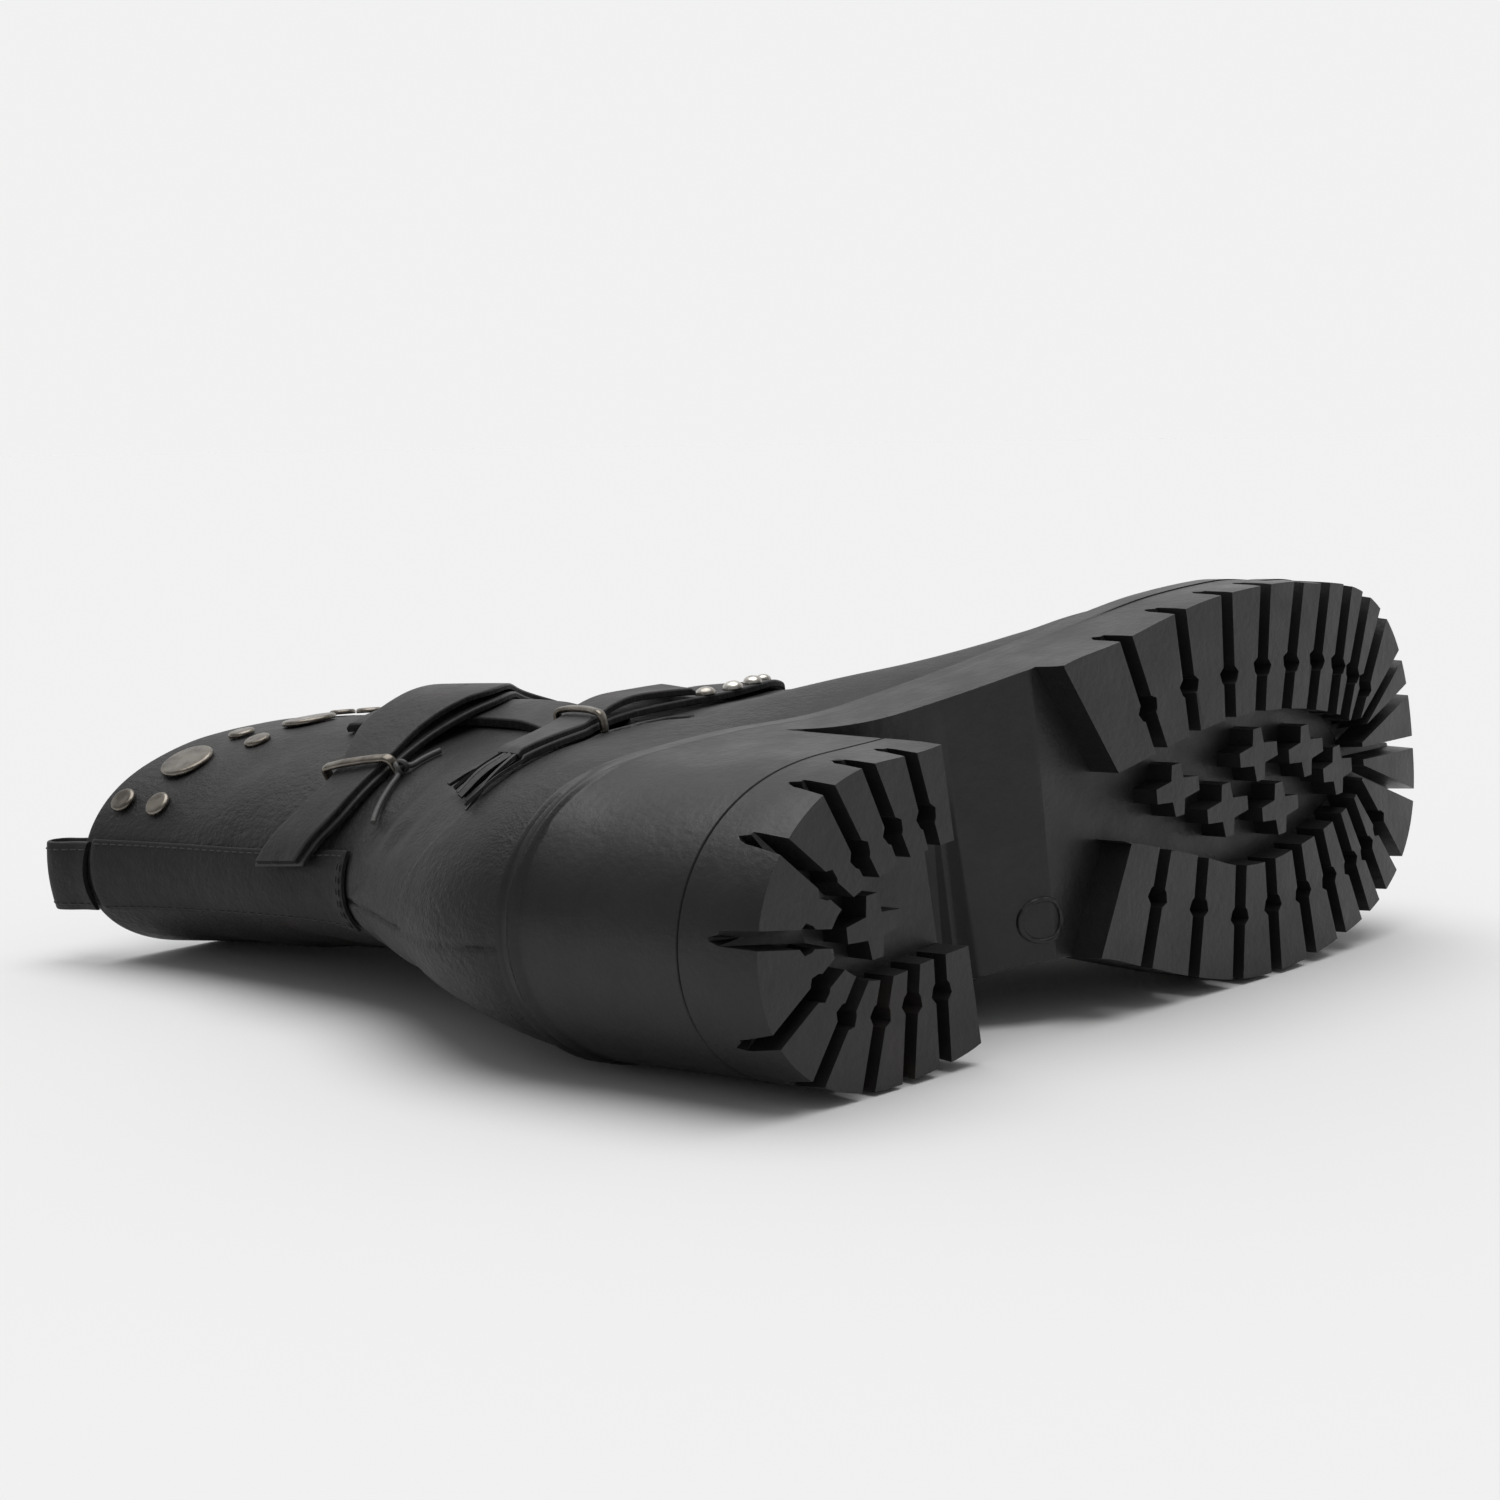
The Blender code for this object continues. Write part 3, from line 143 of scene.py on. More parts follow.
# Upper: one row for each section, from the feather line to the collar.
# Each section runs from the back of the heel to the toe or the front of the leg.
SECTION_COLUMNS = (
    "back_x", "back_z", "front_x", "front_z",
    "heel_out", "waist_out", "ball_out", "heel_in", "waist_in", "ball_in",
    "heel_arc", "toe_arc", "sag", "hug",
)
SECTIONS = (
    (1.8, 56.0, 253.4, 25.2, 29.0, 34.0, 40.0, 28.6, 25.6, 42.0, 38, 58, 1.00, 1.00),
    (0.0, 64.0, 254.8, 34.0, 29.2, 36.0, 40.0, 27.6, 26.6, 42.0, 39, 59, 1.00, 0.50),
    (0.2, 75.0, 252.4, 46.0, 29.2, 35.5, 39.0, 25.4, 27.0, 40.2, 43, 61, 0.97, 0.20),
    (2.6, 86.0, 244.0, 57.0, 28.8, 33.3, 35.4, 23.8, 27.0, 37.4, 46, 65, 0.90, 0.00),
    (5.8, 97.5, 228.0, 67.0, 28.4, 30.9, 30.4, 22.8, 26.8, 34.2, 48, 71, 0.80, 0.00),
    (10.2, 108.5, 205.0, 77.0, 28.2, 29.3, 28.4, 21.6, 26.6, 32.2, 48, 75, 0.62, 0.00),
    (14.8, 119.5, 180.0, 88.5, 28.2, 29.8, 28.2, 21.2, 26.6, 31.2, 46, 74, 0.42, 0.00),
    (18.8, 130.5, 156.0, 103.0, 28.2, 30.2, 27.8, 21.0, 26.6, 30.6, 46, 66, 0.24, 0.00),
    (19.4, 142.0, 138.0, 121.5, 28.6, 30.6, 28.0, 21.2, 26.2, 29.4, 48, 56, 0.10, 0.00),
    (18.4, 156.0, 126.0, 143.0, 28.8, 30.4, 28.0, 22.0, 25.8, 28.2, 50, 50, 0.03, 0.00),
    (17.2, 172.0, 120.0, 166.0, 28.6, 29.8, 27.8, 23.0, 25.6, 27.6, 50, 48, 0.00, 0.00),
    (15.8, 189.0, 118.0, 187.0, 27.8, 29.0, 28.2, 23.8, 25.6, 27.4, 47, 48, 0.00, 0.00),
    (13.4, 206.0, 118.4, 206.0, 26.8, 27.6, 27.4, 24.0, 25.8, 27.4, 44, 50, 0.00, 0.00),
    (10.2, 221.0, 120.0, 222.0, 25.8, 26.8, 26.6, 24.2, 26.0, 27.2, 40, 52, 0.00, 0.00),
)
FEATHER_MARGIN = 2.0        # the upper stands in from the feather edge by this
SECTION_STATIONS = (0.20, 0.46, 0.76)   # heel, waist and ball along a section
SECTION_POWER = 2.05
SWING_FROM, SWING_OVER = 170.0, 85.0    # a section swings inward if its front is past this x
UPPER_WALL = 2.0

INSOLE_INSET = 5.2          # in from the feather edge
INSOLE_HEEL_ARC, INSOLE_TOE_ARC = 32.0, 56.0
# Its edge, from below: further inset, height
INSOLE_EDGE = ((0.0, 0.0), (0.0, 2.2), (0.4, 2.8), (1.2, 3.0))

# Places on the upper: level 0 is the feather and 1 the collar. Turn 0 is the back
# seam and 1 the middle of the front, by the outer side; -1 to 0 is the inner side.
# A strap's low edge is the one nearer the sole; lifts are clearances over the upper.
# Columns: low turn, low level, high turn, high level, low lift, high lift.
ANKLE_STRAP = (
    (0.049, 0.606, 0.045, 0.698, 3.0, 3.0),
    (0.090, 0.588, 0.095, 0.684, 2.2, 2.2),
    (0.150, 0.566, 0.165, 0.664, 0.9, 0.9),
    (0.250, 0.572, 0.242, 0.660, 0.6, 0.8),
    (0.332, 0.584, 0.340, 0.690, 1.8, 2.4),
    (0.385, 0.582, 0.420, 0.698, 3.1, 3.6),
    (0.448, 0.600, 0.510, 0.716, 3.2, 3.4),
    (0.600, 0.684, 0.630, 0.742, 2.2, 1.8),
    (0.740, 0.700, 0.760, 0.762, 0.9, 0.9),
    (0.900, 0.712, 0.900, 0.770, 0.9, 0.9),
    (1.100, 0.712, 1.100, 0.770, 0.9, 0.9),
    (1.260, 0.700, 1.240, 0.762, 0.9, 0.9),
    (1.400, 0.680, 1.370, 0.748, 0.9, 0.9),
    (1.500, 0.665, 1.480, 0.738, 0.9, 0.9),
)
ANKLE_LAYER = 1.5           # the strap is two layers, the top one narrower and shorter
INSTEP_STRAP = (
    (0.222, 0.180, 0.232, 0.262, 1.7, 1.7),
    (0.262, 0.196, 0.272, 0.285, 1.7, 1.7),
    (0.300, 0.236, 0.310, 0.336, 1.7, 1.7),
    (0.325, 0.272, 0.345, 0.384, 1.7, 1.7),
    (0.370, 0.316, 0.395, 0.424, 1.7, 1.7),
    (0.420, 0.348, 0.455, 0.448, 1.2, 1.3),
    (0.466, 0.372, 0.520, 0.472, 0.8, 1.2),
    (0.530, 0.412, 0.600, 0.502, 0.9, 1.2),
    (0.622, 0.470, 0.685, 0.552, 1.0, 1.1),
    (0.750, 0.542, 0.790, 0.598, 0.9, 0.9),
    (1.000, 0.572, 1.000, 0.616, 0.9, 0.9),
    (1.150, 0.565, 1.150, 0.610, 0.9, 0.9),
    (1.280, 0.535, 1.270, 0.592, 0.9, 0.9),
    (1.390, 0.490, 1.360, 0.560, 0.9, 0.9),
    (1.470, 0.450, 1.430, 0.525, 0.9, 0.9),
    (1.540, 0.420, 1.490, 0.500, 0.9, 0.9),
)
INSTEP_LAYER = 1.7
LAYER_BITE = 0.3            # the two layers of the instep strap are fused by this much
# The top layer of the instep strap stands off the lower one past its keeper
ARCH_COLUMNS = ("row", "gap")
ARCH = (
    (0.0, 0.0), (3.0, 0.0), (3.5, 1.1), (4.1, 1.8),
    (4.8, 1.4), (5.5, 0.7),
)
FRINGE_COLUMNS = ("share", "turn", "level", "lift")
FRINGE = (
    (0.10, 0.160, 0.172, 4.0), (0.30, 0.170, 0.205, 3.2), (0.50, 0.176, 0.228, 4.4),
    (0.70, 0.186, 0.256, 3.6), (0.90, 0.190, 0.288, 4.2),
)
# Keepers: row of the strap that each sits on, and the section of their metal
ANKLE_KEEPER_ROW, INSTEP_KEEPER_ROW = 2.98, 3.0
KEEPER_HALF_WIDTH, KEEPER_THICKNESS = 1.176, 1.4
# Vertical band under both straps, from its top end down
HARNESS_BAND = (
    (0.400, 0.758, 0.508, 0.762, 0.3, 0.3),
    (0.397, 0.700, 0.506, 0.708, 0.3, 0.3),
    (0.398, 0.640, 0.500, 0.656, 0.3, 0.3),
    (0.393, 0.584, 0.490, 0.604, 0.3, 0.3),
    (0.374, 0.512, 0.462, 0.544, 0.3, 0.3),
    (0.354, 0.436, 0.430, 0.468, 0.3, 0.3),
    (0.343, 0.376, 0.411, 0.400, 0.3, 0.3),
)
BAND_THICKNESS = 2.4
BAND_SKIVED = 0.9           # its lower end is pared to this, under the instep strap
# Strip up the back seam, from its lower end to the collar
BACKSTAY = (
    (-0.090, 0.515, 0.083, 0.515, 0.5, 0.5),
    (-0.092, 0.640, 0.083, 0.640, 0.5, 0.5),
    (-0.093, 0.780, 0.083, 0.780, 0.5, 0.5),
    (-0.094, 0.900, 0.083, 0.900, 0.5, 0.5),
    (-0.095, 0.985, 0.083, 0.985, 0.5, 0.5),
)
BACKSTAY_THICKNESS = 1.2
# Pull loop: a strip folded over the collar, seen from the side; the bow bends it
# across its width to fit the curve of the collar. Columns x, z, bow at LOOP_BOW_AT.
LOOP_BOW_AT = 8.0
LOOP = (
    (9.8, 220.4, 2.2), (9.2, 224.4, 2.0), (8.2, 229.0, 1.3), (8.0, 232.4, 0.9),
    (9.6, 234.2, 0.7), (11.4, 232.2, 0.9), (12.0, 227.6, 1.4), (12.8, 223.2, 2.3),
    (13.5, 219.4, 2.5), (16.4, 207.0, 2.5),
)
LOOP_HALF_WIDTH, LOOP_THICKNESS = 8.4, 1.2
LOOP_SHIFT = 0.7            # towards the inner side
# Heel counter: its free edge round the heel, from the outer side to the inner.
# Columns turn, bottom level, top level.
COUNTER = (
    (0.366, 0.205, 0.250), (0.357, 0.135, 0.266), (0.343, 0.050, 0.268), (0.322, 0.012, 0.262),
    (0.285, 0.012, 0.222), (0.225, 0.012, 0.192), (0.160, 0.012, 0.190), (0.080, 0.012, 0.240),
    (0.000, 0.012, 0.262), (-0.080, 0.012, 0.240), (-0.160, 0.012, 0.200), (-0.225, 0.012, 0.200),
    (-0.285, 0.012, 0.210), (-0.330, 0.020, 0.200), (-0.350, 0.110, 0.160),
)
COUNTER_GAP, COUNTER_THICKNESS = 0.4, 0.9
# Metal discs round the collar: level, turn, radius
DISCS = (
    (0.968, 0.180, 3.3), (0.908, 0.175, 3.3), (0.930, 0.295, 6.7), (0.928, 0.405, 3.3),
    (0.872, 0.370, 3.3), (0.872, 0.470, 6.7), (0.905, 0.570, 3.3), (0.852, 0.560, 3.3),
)
DISC_THICKNESS = 1.2
# Domes along the instep strap past its top layer: row, share, radius, height
DOMES = (
    (5.78, 0.16, 2.4, 1.6), (6.42, 0.16, 2.4, 1.6), (6.95, 0.20, 2.2, 1.5), (7.50, 0.30, 2.0, 1.4),
)
# Thong tied round the ankle strap's keeper, end to end: turn, level, lift
KEEPER_THONG = (
    (0.296, 0.534, 1.1), (0.274, 0.538, 1.1), (0.256, 0.538, 1.2), (0.250, 0.544, 1.9),
    (0.240, 0.545, 1.9), (0.228, 0.534, 1.2), (0.202, 0.518, 1.1), (0.164, 0.490, 1.1),
    (0.134, 0.466, 1.1),
)
THONG_RADIUS = 0.65


# ---------------------------------------------------------------- shape functions
def smooth(share):
    share = np.clip(share, 0.0, 1.0)
    return share * share * (3.0 - 2.0 * share)


def curve(xs, ys, x):
    """Smooth curve through points (cubic, slopes from neighbours), level past its ends."""
    xs, ys = np.asarray(xs, float), np.asarray(ys, float)
    index = np.arange(len(xs))
    low, high = np.maximum(index - 1, 0), np.minimum(index + 1, len(xs) - 1)
    slope = (ys[high] - ys[low]) / (xs[high] - xs[low])
    x = np.clip(x, xs[0], xs[-1])
    k = np.clip(np.searchsorted(xs, x, side="right") - 1, 0, len(xs) - 2)
    span = xs[k + 1] - xs[k]
    t = (x - xs[k]) / span
    return (ys[k] * (1 + 2 * t) * (1 - t) ** 2 + ys[k + 1] * t * t * (3 - 2 * t)
            + span * (slope[k] * t * (1 - t) ** 2 - slope[k + 1] * t * t * (1 - t)))


def at_rows(table, rows):
    """Every column of a table, each as a smooth function of the row's number."""
    return [curve(range(len(table)), values, rows) for values in zip(*table)]


def look_up(table, columns, name, x):
    """One column of a table as a smooth function of its first column."""
    values = list(zip(*table))
    return curve(values[0], values[columns.index(name)], x)


def evenly(table, count):
    """Every column of a table at evenly spaced places, from the first row to the last."""
    return at_rows(table, np.linspace(0, len(table) - 1, count))


def full_turn(count):
    """Angles round a circle."""
    return np.linspace(0, 2 * math.pi, count, endpoint=False)


def end_cap(distance, arc, power):
    """Share of the full width at a distance from a rounded end."""
    rest = np.clip(1.0 - distance / arc, 0.0, 1.0)
    return (1.0 - rest ** power) ** (1.0 / power)


def tread_outline(x, side):
    y = look_up(TREAD, TREAD_COLUMNS, SIDE_NAME[side], x)
    heel = end_cap(x - HEEL_BACK, HEEL_ARC, HEEL_POWER)
    toe = end_cap(SOLE_TIP - x, TOE_ARC, TOE_POWER)
    return HEEL_TREAD_SHIFT * (1 - heel) + TOE_SWING * (1 - toe) + heel * toe * side * y


def feather_x(x):
    back = np.clip(1 - (x - HEEL_BACK) / 50.0, 0.0, 1.0)
    return x - HEEL_BACK * back ** 1.5


def feather_outline(x, side):
    y = look_up(FEATHER, FEATHER_COLUMNS, SIDE_NAME[side], x)
    heel = end_cap(x, HEEL_ARC, HEEL_POWER)
    toe = end_cap(SOLE_TIP - x, TOE_ARC, TOE_POWER)
    return TOE_SWING * (1 - toe) + heel * toe * side * y


def feather_z(x):
    return look_up(FEATHER, FEATHER_COLUMNS, "z", x)


def spring(x):
    return TOE_SPRING * np.clip((x - SPRING_START) / (SOLE_TIP - SPRING_START), 0.0, 2.0) ** 2


def unit(vectors):
    vectors = np.asarray(vectors, float)
    return vectors / (np.linalg.norm(vectors, axis=-1, keepdims=True) + 1e-12)


def lying_axes():
    up = unit(LYING_UP)
    ahead = unit(np.array((1.0, 0.0, 0.0)) - up * up[0])
    return np.array((ahead, np.cross(up, ahead), up))


AXES = lying_axes()


def to_row(points):
    """From the boot frame in millimetres to the row frame in metres."""
    return (np.asarray(points, float) @ AXES.T + HEEL_POINT) * MM


# ---------------------------------------------------------------- the upper's surface
def section(level):
    return dict(zip(SECTION_COLUMNS, at_rows(SECTIONS, level * (len(SECTIONS) - 1))))


def place(level, turn):
    """Points of the upper's outside; level and turn are arrays of one shape."""
    row = section(level)
    outer = np.sin(math.pi * turn) >= 0.0
    side = np.where(outer, OUTER, INNER)
    length = row["front_x"] - row["back_x"]
    share = (1 - np.cos(math.pi * turn)) / 2
    distance = length * share
    heel, waist, ball = (np.where(outer, row[part + "_out"], row[part + "_in"])
                         for part in ("heel", "waist", "ball"))
    first, second, third = SECTION_STATIONS
    width = np.where(share < second,
                     heel + (waist - heel) * smooth((share - first) / (second - first)),
                     waist + (ball - waist) * smooth((share - second) / (third - second)))
    x = row["back_x"] + distance
    edge = np.where(outer, look_up(FEATHER, FEATHER_COLUMNS, "outer", x),
                    look_up(FEATHER, FEATHER_COLUMNS, "inner", x))
    width = width + row["hug"] * (edge - FEATHER_MARGIN - width)
    heel_end = end_cap(distance, row["heel_arc"], SECTION_POWER)
    toe_end = end_cap(length - distance, row["toe_arc"], SECTION_POWER)
    swing = TOE_SWING * smooth((row["front_x"] - SWING_FROM) / SWING_OVER) * (1 - toe_end)
    y = swing + heel_end * toe_end * side * width
    back_x, back_z, front_x, front_z = SECTIONS[0][:4]
    base = back_z + (front_z - back_z) * (x - back_x) / (front_x - back_x)
    chord = row["back_z"] + (row["front_z"] - row["back_z"]) * share
    return np.stack((x, y, chord + row["sag"] * (feather_z(x) - base) + SEAT_GAP), axis=-1)


# A trough of the leather has a low shoulder on each side: distance in half widths, height
# in depths
SHOULDER_AT, SHOULDER_HEIGHT = 1.9, 0.32
# Creases of the leather: depth (minus for a ridge), half width, path of
# (turn, level)
CREASES = (
    # across the vamp where the toes bend
    (0.5, 3.6, ((0.60, 0.10), (0.69, 0.20), (0.82, 0.33), (1.00, 0.385), (1.17, 0.33), (1.30, 0.20),
                (1.38, 0.10))),
    (0.35, 3.0, ((0.66, 0.13), (0.77, 0.25), (0.90, 0.335), (1.05, 0.34), (1.20, 0.26), (1.29, 0.16))),
    (0.4, 3.4, ((0.56, 0.14), (0.64, 0.25), (0.76, 0.39), (0.92, 0.445), (1.08, 0.44), (1.22, 0.35),
                (1.33, 0.22))),
    (0.3, 2.4, ((0.72, 0.33), (0.84, 0.40), (0.97, 0.415), (1.10, 0.395))),
    # across the bend of the ankle, between the straps
    (1.3, 4.4, ((0.66, 0.60), (0.80, 0.645), (1.00, 0.66), (1.20, 0.645), (1.34, 0.60))),
    (1.0, 3.2, ((0.74, 0.625), (0.90, 0.69), (1.10, 0.69), (1.28, 0.63))),
    (0.6, 3.4, ((0.56, 0.53), (0.66, 0.575), (0.78, 0.61))),
    (0.8, 3.2, ((1.46, 0.53), (1.36, 0.575), (1.24, 0.61))),
    # round the ankle above the counter
    (0.9, 4.0, ((0.05, 0.47), (0.12, 0.44), (0.20, 0.445), (0.29, 0.48))),
    (0.8, 3.4, ((0.08, 0.37), (0.14, 0.345), (0.20, 0.36))),
    (1.1, 4.2, ((-0.05, 0.46), (-0.12, 0.42), (-0.22, 0.43), (-0.32, 0.47), (-0.42, 0.48))),
    (0.8, 3.4, ((-0.10, 0.33), (-0.20, 0.30), (-0.30, 0.33))),
    (1.0, 4.0, ((-0.30, 0.56), (-0.42, 0.585), (-0.54, 0.56))),
    # leather gathered at the foot of the backstay
    (0.7, 1.6, ((0.012, 0.50), (0.040, 0.45), (0.055, 0.40))),
    (0.7, 1.6, ((-0.012, 0.50), (-0.040, 0.46), (-0.060, 0.41))),
    # slack in the shaft
    (0.6, 6.0, ((0.16, 0.86), (0.28, 0.83), (0.38, 0.80))),
    (-0.6, 6.5, ((0.52, 0.78), (0.66, 0.83), (0.84, 0.85))),
    (0.8, 6.0, ((-0.16, 0.74), (-0.30, 0.70), (-0.46, 0.71))),
    (-0.7, 6.0, ((-0.18, 0.84), (-0.36, 0.82), (-0.54, 0.85))),
)
# Seams drawn into the leather: depth, half width, path
SEAMS = (
    (0.8, 0.55, ((0.0, 0.00), (-0.004, 0.10), (-0.005, 0.25), (-0.005, 0.37), (-0.010, 0.515))),
)


def path_points(path, count=24):
    turn, level = evenly(path, count)
    return place(level, turn)


def near_path(points, path):
    """Distance to a path on the upper, and the share of the way along it."""
    line = path_points(path)
    best = np.full(points.shape[:-1], 1e9)
    along = np.zeros(points.shape[:-1])
    for i, (a, b) in enumerate(zip(line, line[1:])):
        t = np.clip(((points - a) @ (b - a)) / max((b - a) @ (b - a), 1e-9), 0.0, 1.0)
        distance = np.linalg.norm(points - a - t[..., None] * (b - a), axis=-1)
        nearer = distance < best
        best = np.where(nearer, distance, best)
        along = np.where(nearer, (i + t) / (len(line) - 1), along)
    return best, along


def waves(points):
    """Low, slow undulation of the leather."""
    x, y, z = (points[..., i] for i in range(3))
    return (0.16 * np.sin(x / 13.0 + 1.3 * np.sin(z / 17.0)) * np.sin(y / 11.0 + z / 19.0 + 0.7)
            + 0.09 * np.sin(x / 6.1 + z / 8.3) * np.sin(y / 5.7 - z / 7.1 + 1.9))


def relief(points):
    """How far creases, seams and waves raise the leather."""
    total = waves(points)
    for depth, width, path in CREASES:
        distance, along = near_path(points, path)
        fade = np.sin(math.pi * np.clip(along, 0.0, 1.0)) ** 0.7
        trough = np.exp(-(distance / width) ** 2)
        shoulder = np.exp(-((distance - SHOULDER_AT * width) / width) ** 2)
        total -= depth * fade * (trough - SHOULDER_HEIGHT * shoulder)
    for depth, width, path in SEAMS:
        distance, _ = near_path(points, path)
        total -= depth * np.exp(-(distance / width) ** 2)
    return total


LEVELS, TURNS = 331, 961


def surface_grid():
    level, turn = np.meshgrid(np.linspace(0, 1, LEVELS), np.linspace(-1, 1, TURNS), indexing="ij")
    points = place(level, turn)
    up = np.gradient(points, axis=0)
    around = np.gradient(points, axis=1)
    around[:, 0] = around[:, -1] = points[:, 1] - points[:, -2]
    return points, unit(np.cross(around, up)), relief(points)


GRID = surface_grid()


def sample(layer, level, turn):
    """Value of a layer of the grid at any level and turn."""
    turn = (np.asarray(turn, float) + 1.0) % 2.0 - 1.0
    i = np.clip(np.asarray(level, float), 0.0, 1.0) * (LEVELS - 1)
    j = (turn + 1.0) / 2.0 * (TURNS - 1)
    i0, j0 = np.minimum(i.astype(int), LEVELS - 2), np.minimum(j.astype(int), TURNS - 2)
    s, t = i - i0, j - j0
    if layer.ndim == 3:
        s, t = s[..., None], t[..., None]
    return ((layer[i0, j0] * (1 - s) + layer[i0 + 1, j0] * s) * (1 - t)
            + (layer[i0, j0 + 1] * (1 - s) + layer[i0 + 1, j0 + 1] * s) * t)


def over(level, turn, lift, share_of_relief=1.0):
    """Points at a height over the leather."""
    level, turn = np.broadcast_arrays(np.asarray(level, float), np.asarray(turn, float))
    height = np.asarray(lift, float) + share_of_relief * sample(GRID[2], level, turn)
    return sample(GRID[0], level, turn) + sample(GRID[1], level, turn) * height[..., None]


def outward_at(level, turn):
    return unit(sample(GRID[1], level, turn))


# ---------------------------------------------------------------- mesh helpers
STITCH_LENGTH, STITCH_GAP, STITCH_RADIUS = 1.9, 0.8, 0.17
STITCH_ARCH = (-0.45, 0.25, 0.4, 0.4, 0.25, -0.45)


def edit(mesh, change):
    """Have a function change a mesh."""
    bm = bmesh.new()
    bm.from_mesh(mesh)
    change(bm)
    bm.to_mesh(mesh)
    bm.free()


def shade(mesh, sharp_angle):
    """Smooth shading, with sharp edges where faces meet at more than an angle."""
    def mark(bm):
        for face in bm.faces:
            face.smooth = True
        for edge in bm.edges:
            edge.smooth = len(edge.link_faces) != 2 or edge.calc_face_angle() < math.radians(sharp_angle)

    edit(mesh, mark)


def linked(name, data):
    """A new object in the scene."""
    item = bpy.data.objects.new(name, data)
    bpy.context.scene.collection.objects.link(item)
    return item


def new_piece(name, mesh, materials):
    item = linked(name, mesh)
    for material in materials:
        mesh.materials.append(material)
    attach(item, "root")
    return item


class Builder:
    """Gathers lofts in the boot frame into one mesh."""

    def __init__(self):
        self.points, self.faces, self.marks = [], [], []
        self.count = 0

    def loft(self, grid, caps=True, around=True, mark=0, marks=None):
        """Skin a grid of rings. marks gives a material for each column of faces."""
        grid = np.asarray(grid, float)
        rings, size = grid.shape[:2]
        self.points.append(grid.reshape(-1, 3))
        start = self.count
        self.count += rings * size
        for i in range(rings - 1):
            for j in range(size if around else size - 1):
                k = (j + 1) % size
                a, b = start + i * size, start + (i + 1) * size
                self.faces.append((a + j, a + k, b + k, b + j))
                self.marks.append(mark if marks is None else marks[j])
        if caps:
            last = start + (rings - 1) * size
            self.faces.append(tuple(range(start + size - 1, start - 1, -1)))
            self.faces.append(tuple(range(last, last + size)))
            self.marks += [mark if marks is None else max(marks)] * 2

    def mesh(self, name, sharp_angle):
        mesh = bpy.data.meshes.new(name)
        mesh.from_pydata(to_row(np.concatenate(self.points)).tolist(), [], self.faces)
        mesh.polygons.foreach_set("material_index", self.marks)
        edit(mesh, lambda bm: bmesh.ops.recalc_face_normals(bm, faces=bm.faces))
        shade(mesh, sharp_angle)
        return mesh

    def piece(self, name, node, slot, materials, sharp_angle=45.0):
        """The gathered mesh as a piece that stands for a CAD node."""
        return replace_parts(new_piece(name, self.mesh(name, sharp_angle), materials), node)


def tube(builder, line, radius, sides=8, mark=0):
    """Round cord along points."""
    tangent = unit(np.gradient(line, axis=0))
    side = unit(np.cross(tangent, (0.31, 0.17, 0.93)))
    lift = np.cross(side, tangent)
    angle = full_turn(sides)[None, :, None]
    ring = np.cos(angle) * side[:, None] + np.sin(angle) * lift[:, None]
    builder.loft(line[:, None] + radius * ring, mark=mark)


def fine_line(points, count):
    """A smooth line through a few points."""
    return np.stack(evenly(points, count), axis=-1)


def walk(line):
    """Distance walked along a line, at each of its points."""
    return np.concatenate(([0.0], np.cumsum(np.linalg.norm(np.diff(line, axis=0), axis=1))))


def stitch_row(builder, line, outward, mark):
    """A row of stitches along a line: short arched threads."""
    walked = walk(line)
    pitch = STITCH_LENGTH + STITCH_GAP
    arch = np.array(STITCH_ARCH) * STITCH_RADIUS * 1.6
    for n in range(int(walked[-1] / pitch)):
        at = np.linspace(0.0, STITCH_LENGTH, len(arch)) + n * pitch + STITCH_GAP / 2
        points, out = (np.stack([np.interp(at, walked, values) for values in many.T], axis=-1)
                       for many in (line, outward))
        tube(builder, points + unit(out) * arch[:, None], STITCH_RADIUS, sides=6, mark=mark)


